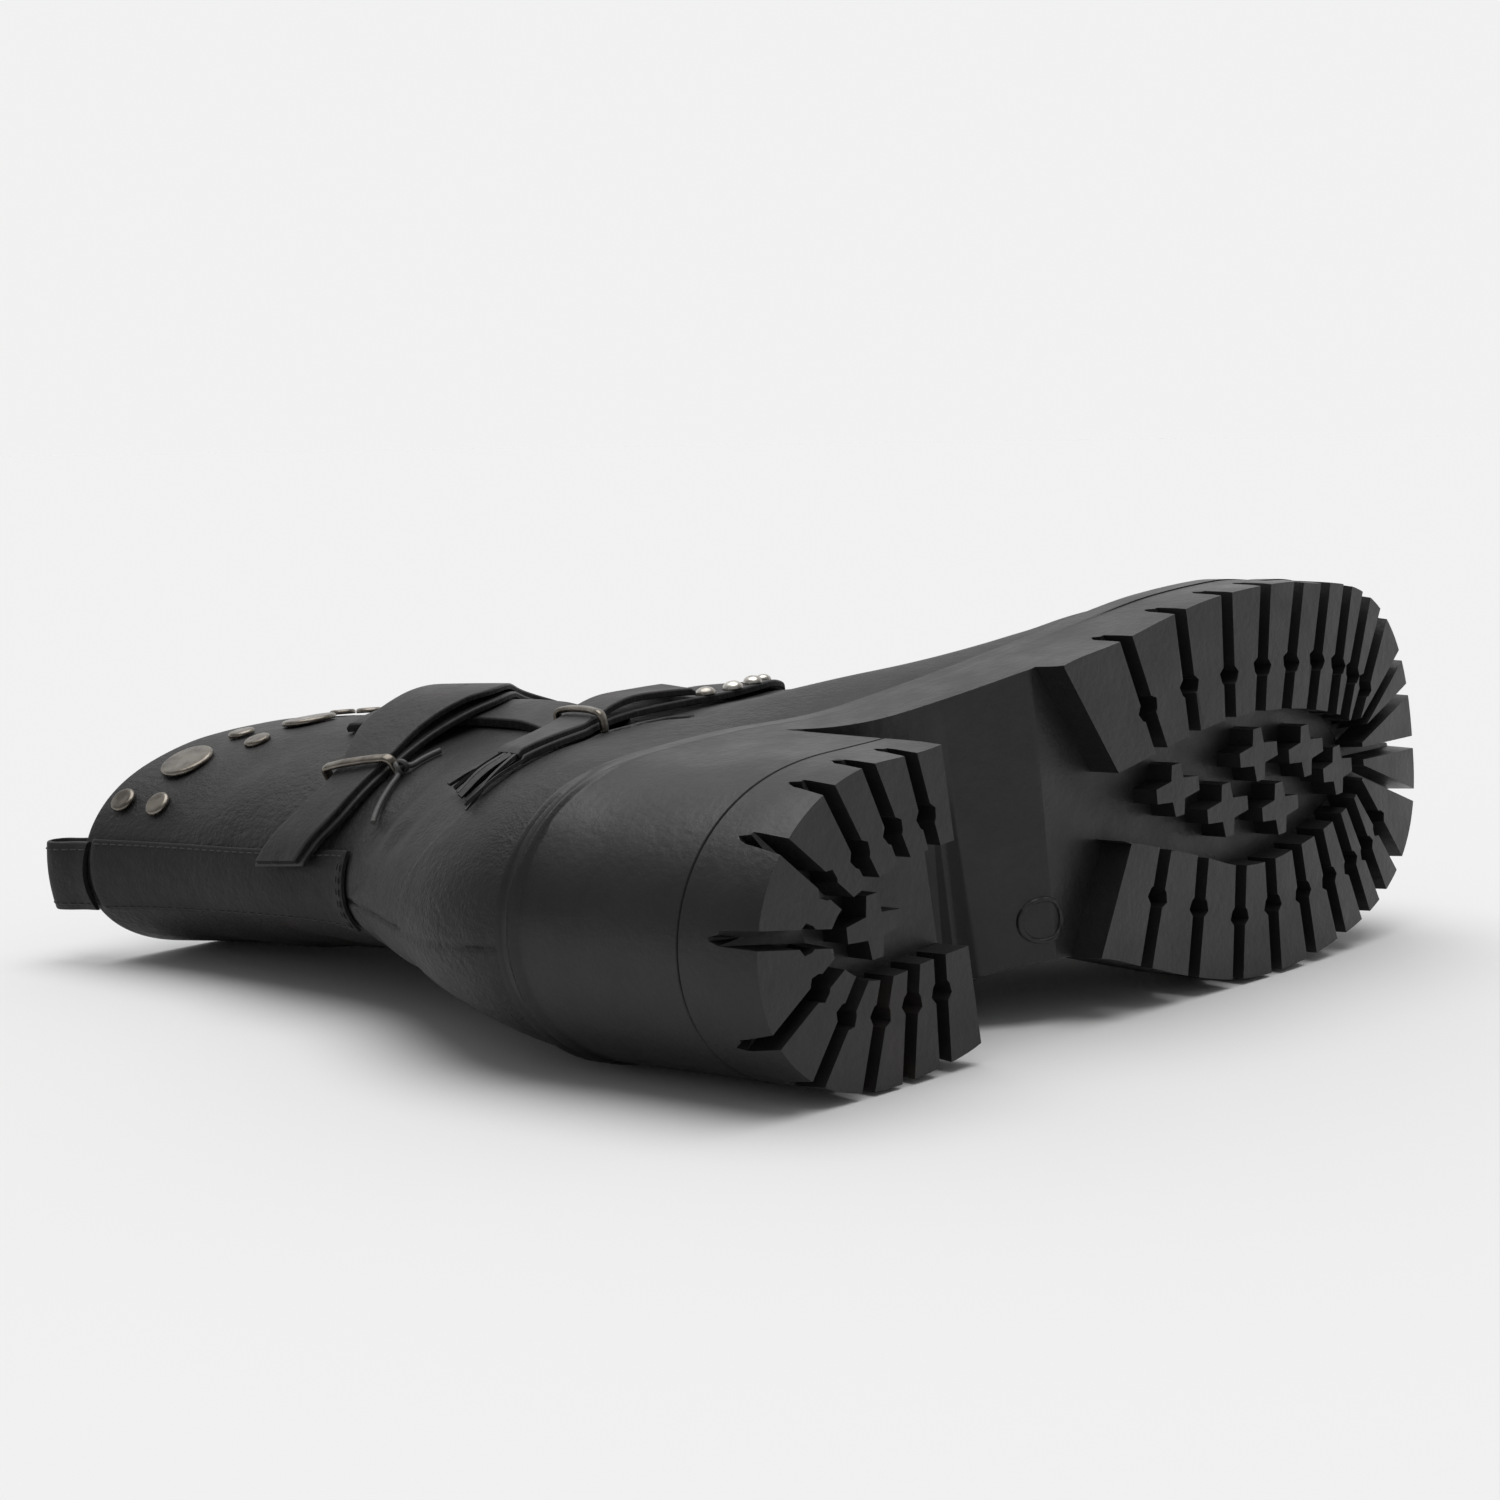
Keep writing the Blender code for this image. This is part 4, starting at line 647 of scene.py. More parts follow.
# ---------------------------------------------------------------- materials
class Nodes:
    """Short way to wire a material's nodes."""

    def __init__(self, name):
        self.material = bpy.data.materials.new(name)
        self.material.use_nodes = True
        self.tree = self.material.node_tree
        self.shader = self.tree.nodes["Principled BSDF"]
        self.place = self.tree.nodes.new("ShaderNodeTexCoord").outputs["Object"]

    def put(self, socket, value):
        """Link or set a socket; a colour is given by its three parts."""
        if isinstance(value, bpy.types.NodeSocket):
            self.tree.links.new(value, socket)
        else:
            socket.default_value = (*value, 1.0) if socket.type == "RGBA" else value

    def add(self, kind, settings=None, **inputs):
        """A new node. An input goes by its name, or by _ and its number."""
        node = self.tree.nodes.new("ShaderNode" + kind)
        for key, value in (settings or {}).items():
            setattr(node, key, value)
        for key, value in inputs.items():
            self.put(node.inputs[int(key[1:]) if key[0] == "_" else key.replace("_", " ")], value)
        return node

    def noise(self, scale, detail=3.0, roughness=0.5, stretch=None):
        place = self.place
        if stretch:
            place = self.add("Mapping", Vector=place, Scale=stretch).outputs["Vector"]
        return self.add("TexNoise", Vector=place, Scale=scale, Detail=detail,
                        Roughness=roughness).outputs["Fac"]

    def cells(self, scale, feature="F1"):
        return self.add("TexVoronoi", {"feature": feature}, Vector=self.place,
                        Scale=scale).outputs["Distance"]

    def remap(self, value, low, high, to_low=0.0, to_high=1.0):
        return self.add("MapRange", _0=value, _1=low, _2=high, _3=to_low, _4=to_high).outputs[0]

    def times(self, a, b):
        return self.add("Math", {"operation": "MULTIPLY"}, _0=a, _1=b).outputs[0]

    def plus(self, a, b):
        return self.add("Math", {"operation": "ADD"}, _0=a, _1=b).outputs[0]

    def mix(self, factor, a, b):
        """From colour a to colour b."""
        return self.add("Mix", {"data_type": "RGBA"}, _0=factor, _6=a, _7=b).outputs[2]

    def bump(self, height, distance, strength=1.0, **below):
        return self.add("Bump", Height=height, Distance=distance, Strength=strength,
                        **below).outputs["Normal"]

    def finish(self, **looks):
        """The material, with the named sockets of its shader put."""
        for name, value in looks.items():
            self.put(self.shader.inputs[name.replace("_", " ")], value)
        return self.material


def times(colour, *factors):
    """A colour made lighter by one factor, or by one for each part."""
    return tuple(c * f for c, f in zip(colour, factors * 3 if len(factors) == 1 else factors))


def leather(name, dark, light, grain=1.0, rough=(0.42, 0.58)):
    """Black pebbled leather: slow tone changes, warm rubbed places, fine wrinkles."""
    n = Nodes(name)
    slow, fine = n.noise(22.0, 4.0), n.noise(260.0, 3.0, 0.6)
    worn = n.remap(n.noise(48.0, 6.0, 0.62), 0.50, 0.74)
    warm = n.remap(n.noise(31.0), 0.55, 0.75)
    specks = n.remap(n.cells(900.0), 0.0, 0.05, 1.0, 0.0)
    colour = n.mix(n.remap(slow, 0.3, 0.7), dark, light)
    colour = n.mix(n.times(worn, 0.30), colour, times(light, 2.0))
    colour = n.mix(n.times(warm, 0.45), colour, times(light, 1.75, 1.45, 1.30))
    colour = n.mix(n.times(specks, n.times(worn, 0.5)), colour, (0.12, 0.11, 0.105))
    pebbles, pores = n.cells(780.0, "SMOOTH_F1"), n.cells(1700.0)
    wrinkles = n.noise(420.0, 3.0, 0.6, (1.0, 0.45, 1.0))
    patchy = n.remap(n.noise(30.0, 2.0), 0.35, 0.65, 0.35, 1.0)
    height = n.plus(n.times(pebbles, patchy), n.times(pores, 0.35))
    height = n.plus(height, n.times(wrinkles, n.times(patchy, 1.2)))
    normal = n.bump(n.noise(150.0, 4.0, 0.55), 0.0005, 0.45, Normal=n.bump(height, 0.00016 * grain))
    roughness = n.remap(n.plus(n.times(fine, 0.5), n.times(slow, 0.5)), 0.3, 0.7, *rough)
    return n.finish(Base_Color=colour, Roughness=roughness, Normal=normal, Specular_IOR_Level=0.36)


def cut_edge(name, dark, light):
    """Raw cut edge of a strap: rough, in thin layers."""
    n = Nodes(name)
    fibre = n.noise(900.0, 4.0, 0.7, (1.0, 1.0, 0.25))
    return n.finish(Base_Color=n.mix(n.remap(fibre, 0.4, 0.65), dark, light), Roughness=0.78,
                    Normal=n.bump(fibre, 0.0004), Specular_IOR_Level=0.25)


# Rubbed and dusty places of the sole: centre, reach, strength, colour
SCUFFS = (
    ((50.0, 26.0, 6.0), 22.0, 0.35, (0.050, 0.038, 0.028)),
    ((196.0, -42.0, 8.0), 9.0, 0.55, (0.16, 0.155, 0.15)),
    ((205.0, -40.0, 6.0), 7.0, 0.45, (0.16, 0.155, 0.15)),
)


def moulded_rubber(name, dark, light):
    """Matt black rubber, dusty in places, with light specks and a few scuffs."""
    n = Nodes(name)
    dusty = n.remap(n.noise(60.0, 8.0, 0.68), 0.48, 0.74)
    specks = n.remap(n.cells(420.0), 0.0, 0.045, 1.0, 0.0)
    chosen = n.remap(n.noise(95.0, 1.0), 0.62, 0.64)
    colour = n.mix(n.remap(n.noise(16.0), 0.3, 0.7), dark, light)
    colour = n.mix(n.times(dusty, 0.30), colour, times(light, 1.7))
    colour = n.mix(n.times(n.times(specks, chosen), 0.55), colour, (0.22, 0.21, 0.20))
    for at, reach, strength, tint in SCUFFS:
        far = n.add("VectorMath", {"operation": "DISTANCE"}, _0=n.place, _1=tuple(to_row(at)))
        near = n.times(n.remap(far.outputs["Value"], 0.0, reach * MM, 1.0, 0.0),
                       n.remap(n.noise(130.0, 6.0), 0.4, 0.6, 0.2, 1.0))
        colour = n.mix(n.times(near, strength), colour, tint)
    roughness = n.remap(n.noise(90.0, 6.0, 0.6), 0.3, 0.7, 0.34, 0.48)
    normal = n.bump(n.noise(70.0), 0.0006, 0.35, Normal=n.bump(n.noise(600.0, 4.0, 0.6), 0.00012))
    return n.finish(Base_Color=colour, Roughness=roughness, Normal=normal, Specular_IOR_Level=0.4)


def aged_nickel(name, dark, light):
    n = Nodes(name)
    patina = n.remap(n.noise(190.0, 5.0, 0.6), 0.42, 0.66)
    roughness = n.remap(n.noise(330.0, 4.0), 0.3, 0.7, 0.22, 0.42)
    return n.finish(Base_Color=n.mix(patina, light, dark), Roughness=roughness,
                    Normal=n.bump(n.noise(420.0, 4.0), 0.00012), Metallic=1.0)


def thread(name, colour):
    n = Nodes(name)
    return n.finish(Base_Color=n.mix(n.noise(1400.0), colour, times(colour, 1.8)), Roughness=0.7,
                    Normal=n.bump(n.noise(2600.0), 0.0001))


LEATHER = leather("boot_leather", (0.0084, 0.0078, 0.0080), (0.0145, 0.0130, 0.0128), 1.5, (0.46, 0.60))
# Darker copy of the boot leather, for the backstay and the pull loop: painted shade, standing in for the dim
# light on the shaft's underside
BACK_LEATHER_PAINTED_SHADE = leather("backstay_leather", (0.0034, 0.0031, 0.0034), (0.0060, 0.0055, 0.0056), 0.8,
                       (0.55, 0.7))
STRAP = leather("strap_leather", (0.015, 0.0142, 0.0146), (0.024, 0.0222, 0.0222), 0.8, (0.45, 0.6))
EDGE = cut_edge("strap_edge", (0.003, 0.0028, 0.0036), (0.014, 0.0132, 0.0150))
LINING = leather("inner_lining", (0.012, 0.011, 0.0105), (0.020, 0.018, 0.017), 0.5, (0.7, 0.85))
RUBBER = moulded_rubber("sole_moulded_rubber", (0.0082, 0.0079, 0.0086), (0.0125, 0.0121, 0.0128))
METAL = aged_nickel("studs_and_keepers", (0.10, 0.088, 0.074), (0.21, 0.19, 0.165))
BRIGHT_METAL = aged_nickel("bright_domes", (0.22, 0.20, 0.17), (0.62, 0.60, 0.56))
THREAD = thread("waxed_thread", (0.016, 0.0155, 0.0165))
THONG = leather("thong_leather", (0.030, 0.029, 0.029), (0.060, 0.058, 0.056), 0.6)


# ---------------------------------------------------------------- sole unit
SOLE_STEPS = (26, 60, 34)   # stations round the heel, along the middle, round the toe
HEEL_DIAMOND_SHARE = 0.32   # of the way from the hollow to the side
DIAMOND_LENGTH, DIAMOND_WIDTH = 5.0, 7.4
PARTING_LEVEL, PARTING_DEPTH = 0.286, 0.42  # mould's parting line round the heel
PARTING_FULL_TO, PARTING_FADE = 60.0, 26.0
# The line's section: height from its level, share of its depth (minus is inward)
PARTING = ((-0.006, 0.0), (-0.0035, -0.9), (0.0, -1.0), (0.0025, -0.2), (0.005, 0.3), (0.008, 0.0))
# Moulded lip round the heel: how far below the feather, and its share of the step
RAND_LIP = (
    (4.7, 0.10), (4.35, 0.75), (4.0, 1.00), (3.6, 0.75), (2.9, 0.30), (2.0, 0.14),
    (1.2, 0.34), (0.7, 0.95), (0.35, 1.10), (0.0, 0.75),
)
TOE_CUTS = (178.0, 254.0, 4.0)  # the flat tread is cut across here, to bend with the spring
SOLE_BEVEL, BEVEL_FROM = 0.45, 34.0     # rounding of edges, where faces meet at more degrees
CUTTER_REACH = 60.0         # half width of the waist's cutter
BOSS = (108.0, 16.5, 4.5)   # x, y and radius of a plain ring under the waist
BOSS_PROFILE = ((-0.5, 0.30), (-0.3, 0.55), (0.3, 0.55), (0.5, 0.30), (0.5, -1.2), (-0.5, -1.2))


def sole_stations():
    length = SOLE_TIP - HEEL_BACK
    heel, middle, toe = SOLE_STEPS
    quarter = math.pi / 2
    back = HEEL_ARC * (1 - np.cos(quarter * np.arange(heel) / heel))
    straight = HEEL_ARC + (length - HEEL_ARC - TOE_ARC) * np.arange(middle) / middle
    front = length - TOE_ARC * (1 - np.sin(quarter * np.arange(toe + 1) / toe))
    return HEEL_BACK + np.concatenate((back, straight, front))


def sole_ring(height_share, out_share, drop=0.0, step=0.0):
    """One level of the sole's side: outer side forward, inner side back."""
    x = sole_stations()
    top_x = feather_x(x)
    height = (feather_z(top_x) - spring(x)) * height_share - drop
    near = np.clip(top_x, 1.0, SOLE_TIP - 1.0)
    halves = []
    for side in (OUTER, INNER):
        low = np.stack((x, tread_outline(x, side)), axis=-1)
        high = np.stack((top_x, feather_outline(top_x, side)), axis=-1)
        rise = feather_outline(near + 0.5, side) - feather_outline(near - 0.5, side)
        away = unit(np.stack((-rise, np.ones_like(rise)), axis=-1)) * side
        away[0], away[-1] = (-1.0, 0.0), (1.0, 0.0)
        plan = low + (high - low) * out_share + away * np.broadcast_to(step, x.shape)[:, None]
        halves.append(np.column_stack((plan, height)))
    return closed(halves)


def closed(halves):
    """A ring from its outer and inner half, which share their ends."""
    return np.concatenate((halves[0], halves[1][-2:0:-1]))


def sole_body():
    """Rings of the sole's side, from the tread up to the feather."""
    x = sole_stations()
    rings = [sole_ring(*level) for level in WALL_FOOT]
    groove = PARTING_DEPTH * (1.0 - smooth((x - PARTING_FULL_TO) / PARTING_FADE))
    out = np.interp(PARTING_LEVEL, *WALL_SLOPE)
    rings += [sole_ring(PARTING_LEVEL + shift, out, step=share * groove) for shift, share in PARTING]
    rings += [sole_ring(level, np.interp(level, *WALL_SLOPE)) for level in (0.40, 0.52, 0.64, 0.76)]
    rings.append(sole_ring(1.0, 0.96, drop=RAND_HEIGHT + 1.0))
    sunk = smooth((feather_x(x) - RAND_FULL_TO) / (RAND_GONE_AT - RAND_FULL_TO))
    step = RAND_STEP * (1.0 - sunk)
    return rings + [sole_ring(1.0, 1.0, drop=drop, step=step * share) for drop, share in RAND_LIP]


def add_loft(bm, rings, close_ends=True):
    rows = [[bm.verts.new(Vector(p) * MM) for p in ring] for ring in rings]
    count = len(rows[0])
    for low, high in zip(rows, rows[1:]):
        for i in range(count):
            j = (i + 1) % count
            bm.faces.new((low[i], low[j], high[j], high[i]))
    if close_ends:
        bm.faces.new(rows[0][::-1])
        bm.faces.new(rows[-1])
    return rows


def cover(bm, row, flip=False):
    """Close a ring with strips across from the outer to the inner side."""
    count = len(row)
    pairs = [(row[i], row[(count - i) % count]) for i in range(count // 2 + 1)]
    for (a, b), (c, d) in zip(pairs, pairs[1:]):
        corners = list(dict.fromkeys((a, c, d, b)))
        bm.faces.new(reversed(corners) if flip else corners)


def prism(bm, outline, low, high):
    add_loft(bm, [[(x, y, z) for x, y in outline] for z in (low, high)])


def scratch(name, bm):
    """A temporary object, used in a Boolean and then removed."""
    bmesh.ops.recalc_face_normals(bm, faces=bm.faces)
    mesh = bpy.data.meshes.new(name)
    bm.to_mesh(mesh)
    bm.free()
    return linked(name, mesh)


def beyond(root, rim, extra):
    root, rim = Vector(root), Vector(rim)
    return tuple(rim + (rim - root).normalized() * extra)


def waist_cutter():
    """The space under the waist, with the skewed breast of the heel."""
    fine = zip(*evenly(WAIST, 22))
    profile = [(72.4, -CUT_BELOW), *fine, (112.0, -CUT_BELOW)]
    (back, _), (forward, _) = WAIST[0], WAIST[-1]
    bm = bmesh.new()
    add_loft(bm, [[(x + BREAST_SKEW * y * max(0.0, (forward - x) / (forward - back)), y, z)
                   for x, z in profile] for y in (-CUTTER_REACH, CUTTER_REACH)])
    return scratch("waist_cutter", bm)


def smooth_edge(table, side_column):
    """The edge of a hollow as a finer line than its table."""
    columns = evenly(table, 4 * (len(table) - 1) + 1)
    return list(zip(columns[0], columns[side_column]))


def hollow_cutter():
    """The hollows between the lugs, under the forefoot and in the heel."""
    outline = [(88.0, -50.0), beyond(*OUTER_LUG_FACE, 14.0), *smooth_edge(FOREFOOT_HOLLOW, 1)]
    outline += smooth_edge(FOREFOOT_HOLLOW, 2)[::-1]
    outline += [INNER_LUG_FACE[0], beyond(*INNER_LUG_FACE, 26.0), (88.0, 46.0)]
    bm = bmesh.new()
    prism(bm, outline, -CUT_BELOW, LUG_DEPTH)
    prism(bm, smooth_edge(HEEL_HOLLOW, 1) + smooth_edge(HEEL_HOLLOW, 2)[::-1], -CUT_BELOW, LUG_DEPTH)
    return scratch("hollow_cutter", bm)


def add_groove(bm, root, rim, width, diamond_share=None):
    """A tapered groove from the hollow out through the side, pointed at its mouth."""
    root, rim = Vector(root), Vector(rim)
    along = (rim - root).normalized()
    across = Vector((-along.y, along.x))
    rings = []
    for at, shoulder, peak in ((root - along * 3.0, LUG_DEPTH - 0.3, LUG_DEPTH),
                               (rim - along * 5.0, LUG_DEPTH - 0.3, LUG_DEPTH),
                               (rim + along * 7.0, LUG_DEPTH - 0.5, MOUTH_DEPTH + 1.4)):
        corners = ((-0.5, -CUT_BELOW), (-0.36, shoulder), (0.0, peak), (0.36, shoulder), (0.5, -CUT_BELOW))
        rings.append([(*(at + across * width * s), z) for s, z in corners])
    add_loft(bm, rings)
    if diamond_share is not None:
        middle = root.lerp(rim, diamond_share)
        wide = DIAMOND_WIDTH / 2 * width / GROOVE_WIDTH
        half = ((1.0, 0.45), (0.25, 1.0), (-0.55, 0.8), (-1.0, 0.45))
        outline = [tuple(middle + along * a * DIAMOND_LENGTH / 2 + across * b * wide)
                   for a, b in half + tuple((a, -b) for a, b in half[::-1])]
        prism(bm, outline, -CUT_BELOW, LUG_DEPTH - 0.6)


def tip_x(y):
    """Where the tread's outline reaches a given y at the toe."""
    side = OUTER if y < TOE_SWING else INNER
    xs = np.linspace(200.0, SOLE_TIP, 2000)
    return float(xs[(tread_outline(xs, side) - y) * side > 0][-1])


def groove_cutter():
    bm = bmesh.new()
    for side, rim_x, root_x, wide_y in SIDE_GROOVES:
        rim_y = float(tread_outline(rim_x, side))
        root_y = float(look_up(FOREFOOT_HOLLOW, HOLLOW_COLUMNS, SIDE_NAME[side], root_x))
        add_groove(bm, (root_x, root_y), (rim_x, rim_y), GROOVE_WIDTH, (wide_y - root_y) / (rim_y - root_y))
    for rim_y, root_y in TOE_GROOVES:
        add_groove(bm, (FOREFOOT_HOLLOW[-1][0], root_y), (tip_x(rim_y), rim_y), GROOVE_WIDTH * 0.7)
    for rim_x, rim_y, root_x, root_y in HEEL_GROOVES:
        add_groove(bm, (root_x, root_y), (rim_x, rim_y), HEEL_GROOVE_WIDTH, HEEL_DIAMOND_SHARE)
    return scratch("groove_cutter", bm)


def cross_studs():
    bm = bmesh.new()
    arm = CROSS_ARM / 2
    for x, y, length, width in CROSSES:
        a, b = length / 2, width / 2
        half = ((a, -arm * 0.7), (a, arm * 0.7), (arm, arm), (arm * 0.7, b), (-arm * 0.7, b), (-arm, arm))
        outline = [(x + turn * u, y + turn * v) for turn in (1, -1) for u, v in half]
        prism(bm, outline, CROSS_TOP, LUG_DEPTH + 1.5)
    return scratch("cross_studs", bm)


def ring_boss():
    """Plain raised ring under the waist."""
    x, y, radius = BOSS
    bm = bmesh.new()
    rings = []
    for angle in full_turn(48):
        ring = []
        for wide, low in BOSS_PROFILE:
            at = x + (radius + wide) * math.cos(angle)
            level = float(look_up(WAIST, WAIST_COLUMNS, "z", at)) - low
            ring.append((at, y + (radius + wide) * math.sin(angle), level))
        rings.append(ring)
    add_loft(bm, rings + rings[:1], close_ends=False)
    bmesh.ops.remove_doubles(bm, verts=bm.verts, dist=1e-7)
    return scratch("ring_boss", bm)


def solid_result(item):
    bpy.context.view_layer.update()
    graph = bpy.context.evaluated_depsgraph_get()
    return bpy.data.meshes.new_from_object(item.evaluated_get(graph))


def cut_and_joined():
    """The sole's solid with its hollows, grooves, studs and ring, before any rounding."""
    bm = bmesh.new()
    rows = add_loft(bm, sole_body(), close_ends=False)
    cover(bm, rows[0], flip=True)
    cover(bm, rows[-1])
    item = scratch("sole_unit_solid", bm)
    tools = [(waist_cutter(), "DIFFERENCE"), (hollow_cutter(), "DIFFERENCE"),
             (groove_cutter(), "DIFFERENCE"), (cross_studs(), "UNION"), (ring_boss(), "UNION")]
    for tool, operation in tools:
        step = item.modifiers.new(tool.name, "BOOLEAN")
        step.operation, step.object, step.solver, step.use_self = operation, tool, "EXACT", True
    mesh = solid_result(item)
    item.modifiers.clear()
    for tool, _ in tools:
        bpy.data.objects.remove(tool, do_unlink=True)
    return item, mesh


def spring_and_mark(bm):
    """Cuts the tread across, marks the edges to round, and bends the toe up."""
    for x in np.arange(*TOE_CUTS):
        bmesh.ops.bisect_plane(bm, geom=bm.verts[:] + bm.edges[:] + bm.faces[:], dist=1e-7,
                               plane_co=(x * MM, 0, 0), plane_no=(1, 0, 0))
    bmesh.ops.remove_doubles(bm, verts=bm.verts, dist=2e-5)
    bmesh.ops.dissolve_degenerate(bm, edges=bm.edges, dist=1e-5)
    weight = bm.edges.layers.float.new("bevel_weight_edge")
    for edge in bm.edges:
        if len(edge.link_faces) == 2 and edge.calc_face_angle() > math.radians(BEVEL_FROM):
            edge[weight] = 1.0
    for vert in bm.verts:
        vert.co.z += float(spring(vert.co.x / MM)) * MM


def lay_down(bm):
    """Splits large faces, and turns the sole from the boot frame to the row frame."""
    bmesh.ops.triangulate(bm, faces=[face for face in bm.faces if len(face.verts) > 4])
    for vert in bm.verts:
        vert.co = Vector(to_row(np.array(vert.co) / MM))


def build_sole():
    """The outsole, its edges rounded and its toe sprung."""
    item, mesh = cut_and_joined()
    edit(mesh, spring_and_mark)
    item.data = mesh
    bevel = item.modifiers.new("soft_edges", "BEVEL")
    bevel.width, bevel.segments, bevel.limit_method = SOLE_BEVEL * MM, 2, "WEIGHT"
    bevel.use_clamp_overlap = True
    mesh = solid_result(item)
    edit(mesh, lay_down)
    shade(mesh, 40.0)
    item.modifiers.clear()
    item.data = mesh
    item.modifiers.new("even_shading", "WEIGHTED_NORMAL").keep_sharp = True
    mesh = solid_result(item)
    bpy.data.objects.remove(item, do_unlink=True)
    mesh.name = "sole_unit"
    mesh.materials.clear()
    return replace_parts(new_piece("sole_unit", mesh, [RUBBER]), "outsole")


# ---------------------------------------------------------------- upper
AROUND, UP_STEPS, LINING_STEPS = 384, 172, 44
CREASED_FROM = 0.03         # the creases fade out below this level
LINING_RELIEF = 0.6         # share of the creases that shows inside


def build_upper():
    """The upper's leather, with its rolled collar and its lining, open at the foot."""
    turn = np.linspace(-1, 1, AROUND + 1)[:-1]
    rows = [over(level, turn, 0.0, min(1.0, level / CREASED_FROM))
            for level in np.linspace(0, 1, UP_STEPS + 1)]
    inner = [over(level, turn, -UPPER_WALL, LINING_RELIEF) for level in np.linspace(1, 0, LINING_STEPS)[1:]]
    top = np.ones_like(turn)
    half = UPPER_WALL / 2
    normal = sample(GRID[1], top, turn) * half
    rise = unit(sample(GRID[0], top, turn) - sample(GRID[0], 0.99 * top, turn)) * half * 0.7
    rim = [rows[-1] + normal * (math.cos(a) - 1) + rise * math.sin(a)
           for a in np.linspace(0, math.pi, 9)[1:]]
    b = Builder()
    b.loft(rows + rim[:5], caps=False)
    b.loft(rim[4:] + inner, caps=False, mark=1)
    b.loft([inner[-1], rows[0]], caps=False, mark=1)
    return b.piece("upper_shell", "upper", "leather", [LEATHER, LINING], 60.0)


COUNTER_RELIEF = 0.8        # share of the upper's creases that shows on the counter
EDGE_SOFT, EDGE_CRISP = 2.6, 2.1        # its edge thins out over this, less this along the sides
CRISP_FROM, CRISP_OVER = 0.27, 0.06     # turn past which the edge is crisp
# Stitch channel along the crisp edge and the ridge outside it: inset, half width, height
CHANNEL_INSET, CHANNEL_WIDTH, CHANNEL_DEPTH = 1.9, 0.55, 0.85
RIDGE_INSET, RIDGE_WIDTH, RIDGE_HEIGHT = 0.8, 0.45, 0.30
STITCH_SINK = 0.35          # of the counter's stitches, below its face
COUNTER_STITCHED = 150      # rows of its edge that are stitched, from each end


def counter_relief(flat, turns):
    """Height over the counter's base: it thins out to its edge, with a stitch channel."""
    border = np.concatenate((flat[0], flat[:, -1], flat[-1]))
    crisp = smooth((np.abs(np.concatenate((turns[0], turns[:, -1], turns[-1]))) - CRISP_FROM) / CRISP_OVER)
    size = flat.shape[:2]
    depth, away, sharp = np.ones(size), np.full(size, 1e9), np.zeros(size)
    for point, crispness in zip(border[::2], crisp[::2]):
        distance = np.linalg.norm(flat - point, axis=-1)
        depth = np.minimum(depth, np.clip(distance / (EDGE_SOFT - EDGE_CRISP * crispness), 0.0, 1.0))
        sharp = np.where(distance < away, crispness, sharp)
        away = np.minimum(away, distance)
    ridge = RIDGE_HEIGHT * np.exp(-((away - RIDGE_INSET) / RIDGE_WIDTH) ** 2)
    channel = CHANNEL_DEPTH * np.exp(-((away - CHANNEL_INSET) / CHANNEL_WIDTH) ** 4)
    return COUNTER_THICKNESS * np.sqrt(1 - (1 - depth) ** 2) + sharp * (ridge - channel)


def build_counter():
    """Leather round the heel, with its stitches in a channel along the free edge."""
    key = (len(COUNTER) - 1) * (0.5 - 0.5 * np.cos(np.linspace(0, math.pi, 361)))
    turn, bottom, top = at_rows(COUNTER, key)
    share = np.concatenate((np.linspace(0, 0.7, 20), 1 - 0.3 * (1 - np.linspace(0, 1, 38)[1:]) ** 1.7))
    level = bottom[:, None] + share[None] * (top - bottom)[:, None]
    turns = np.broadcast_to(turn[:, None], level.shape)
    flat = over(level, turns, 0.0, 0.0)
    outside = over(level, turns, COUNTER_GAP + counter_relief(flat, turns), COUNTER_RELIEF)
    under = over(level[:, ::6], turns[:, ::6], 0.02, COUNTER_RELIEF)
    b = Builder()
    b.loft(np.concatenate((outside, under[:, ::-1]), axis=1))
    for part in (slice(0, COUNTER_STITCHED), slice(-COUNTER_STITCHED, None)):
        out = outward_at(top[part], turn[part])
        line = flat[part][:, -1] + unit(flat[part][:, -2] - flat[part][:, -1]) * CHANNEL_INSET
        height = (COUNTER_GAP + COUNTER_THICKNESS - STITCH_SINK
                  + COUNTER_RELIEF * sample(GRID[2], top[part], turn[part]))
        stitch_row(b, line + out * height[:, None], out, mark=1)
    return b.piece("counter_cover", "heel_counter", "leather", [LEATHER, THREAD], 50.0)


# ---------------------------------------------------------------- straps
EDGE_CORNER = 0.45          # rounding of a strap's upper edges


def strap_place(table, row, share, height, share_of_relief=0.0):
    """Points of a strap: rows of shares of its width from the low edge, at heights."""
    low_turn, low_level, high_turn, high_level, low_lift, high_lift = at_rows(table, np.asarray(row, float))
    turn = low_turn + share * (high_turn - low_turn)
    level = low_level + share * (high_level - low_level)
    lift = low_lift + share * (high_lift - low_lift)
    return over(level, turn, lift + height, share_of_relief)


def strap_along(table, row, share, height):
    """Step along a strap, from just before a row to just after it."""
    return strap_place(table, row + 0.1, share, height) - strap_place(table, row - 0.1, share, height)


def strap_rows(table, first, last, step):
    """Rows along a strap, about evenly spaced in millimetres, and its length."""
    fine = np.linspace(first, last, 400)
    walked = walk(strap_place(table, fine, 0.5, 0.0))
    count = max(int(walked[-1] / step), 3)
    return np.interp(np.linspace(0, walked[-1], count + 1), walked, fine), walked[-1]


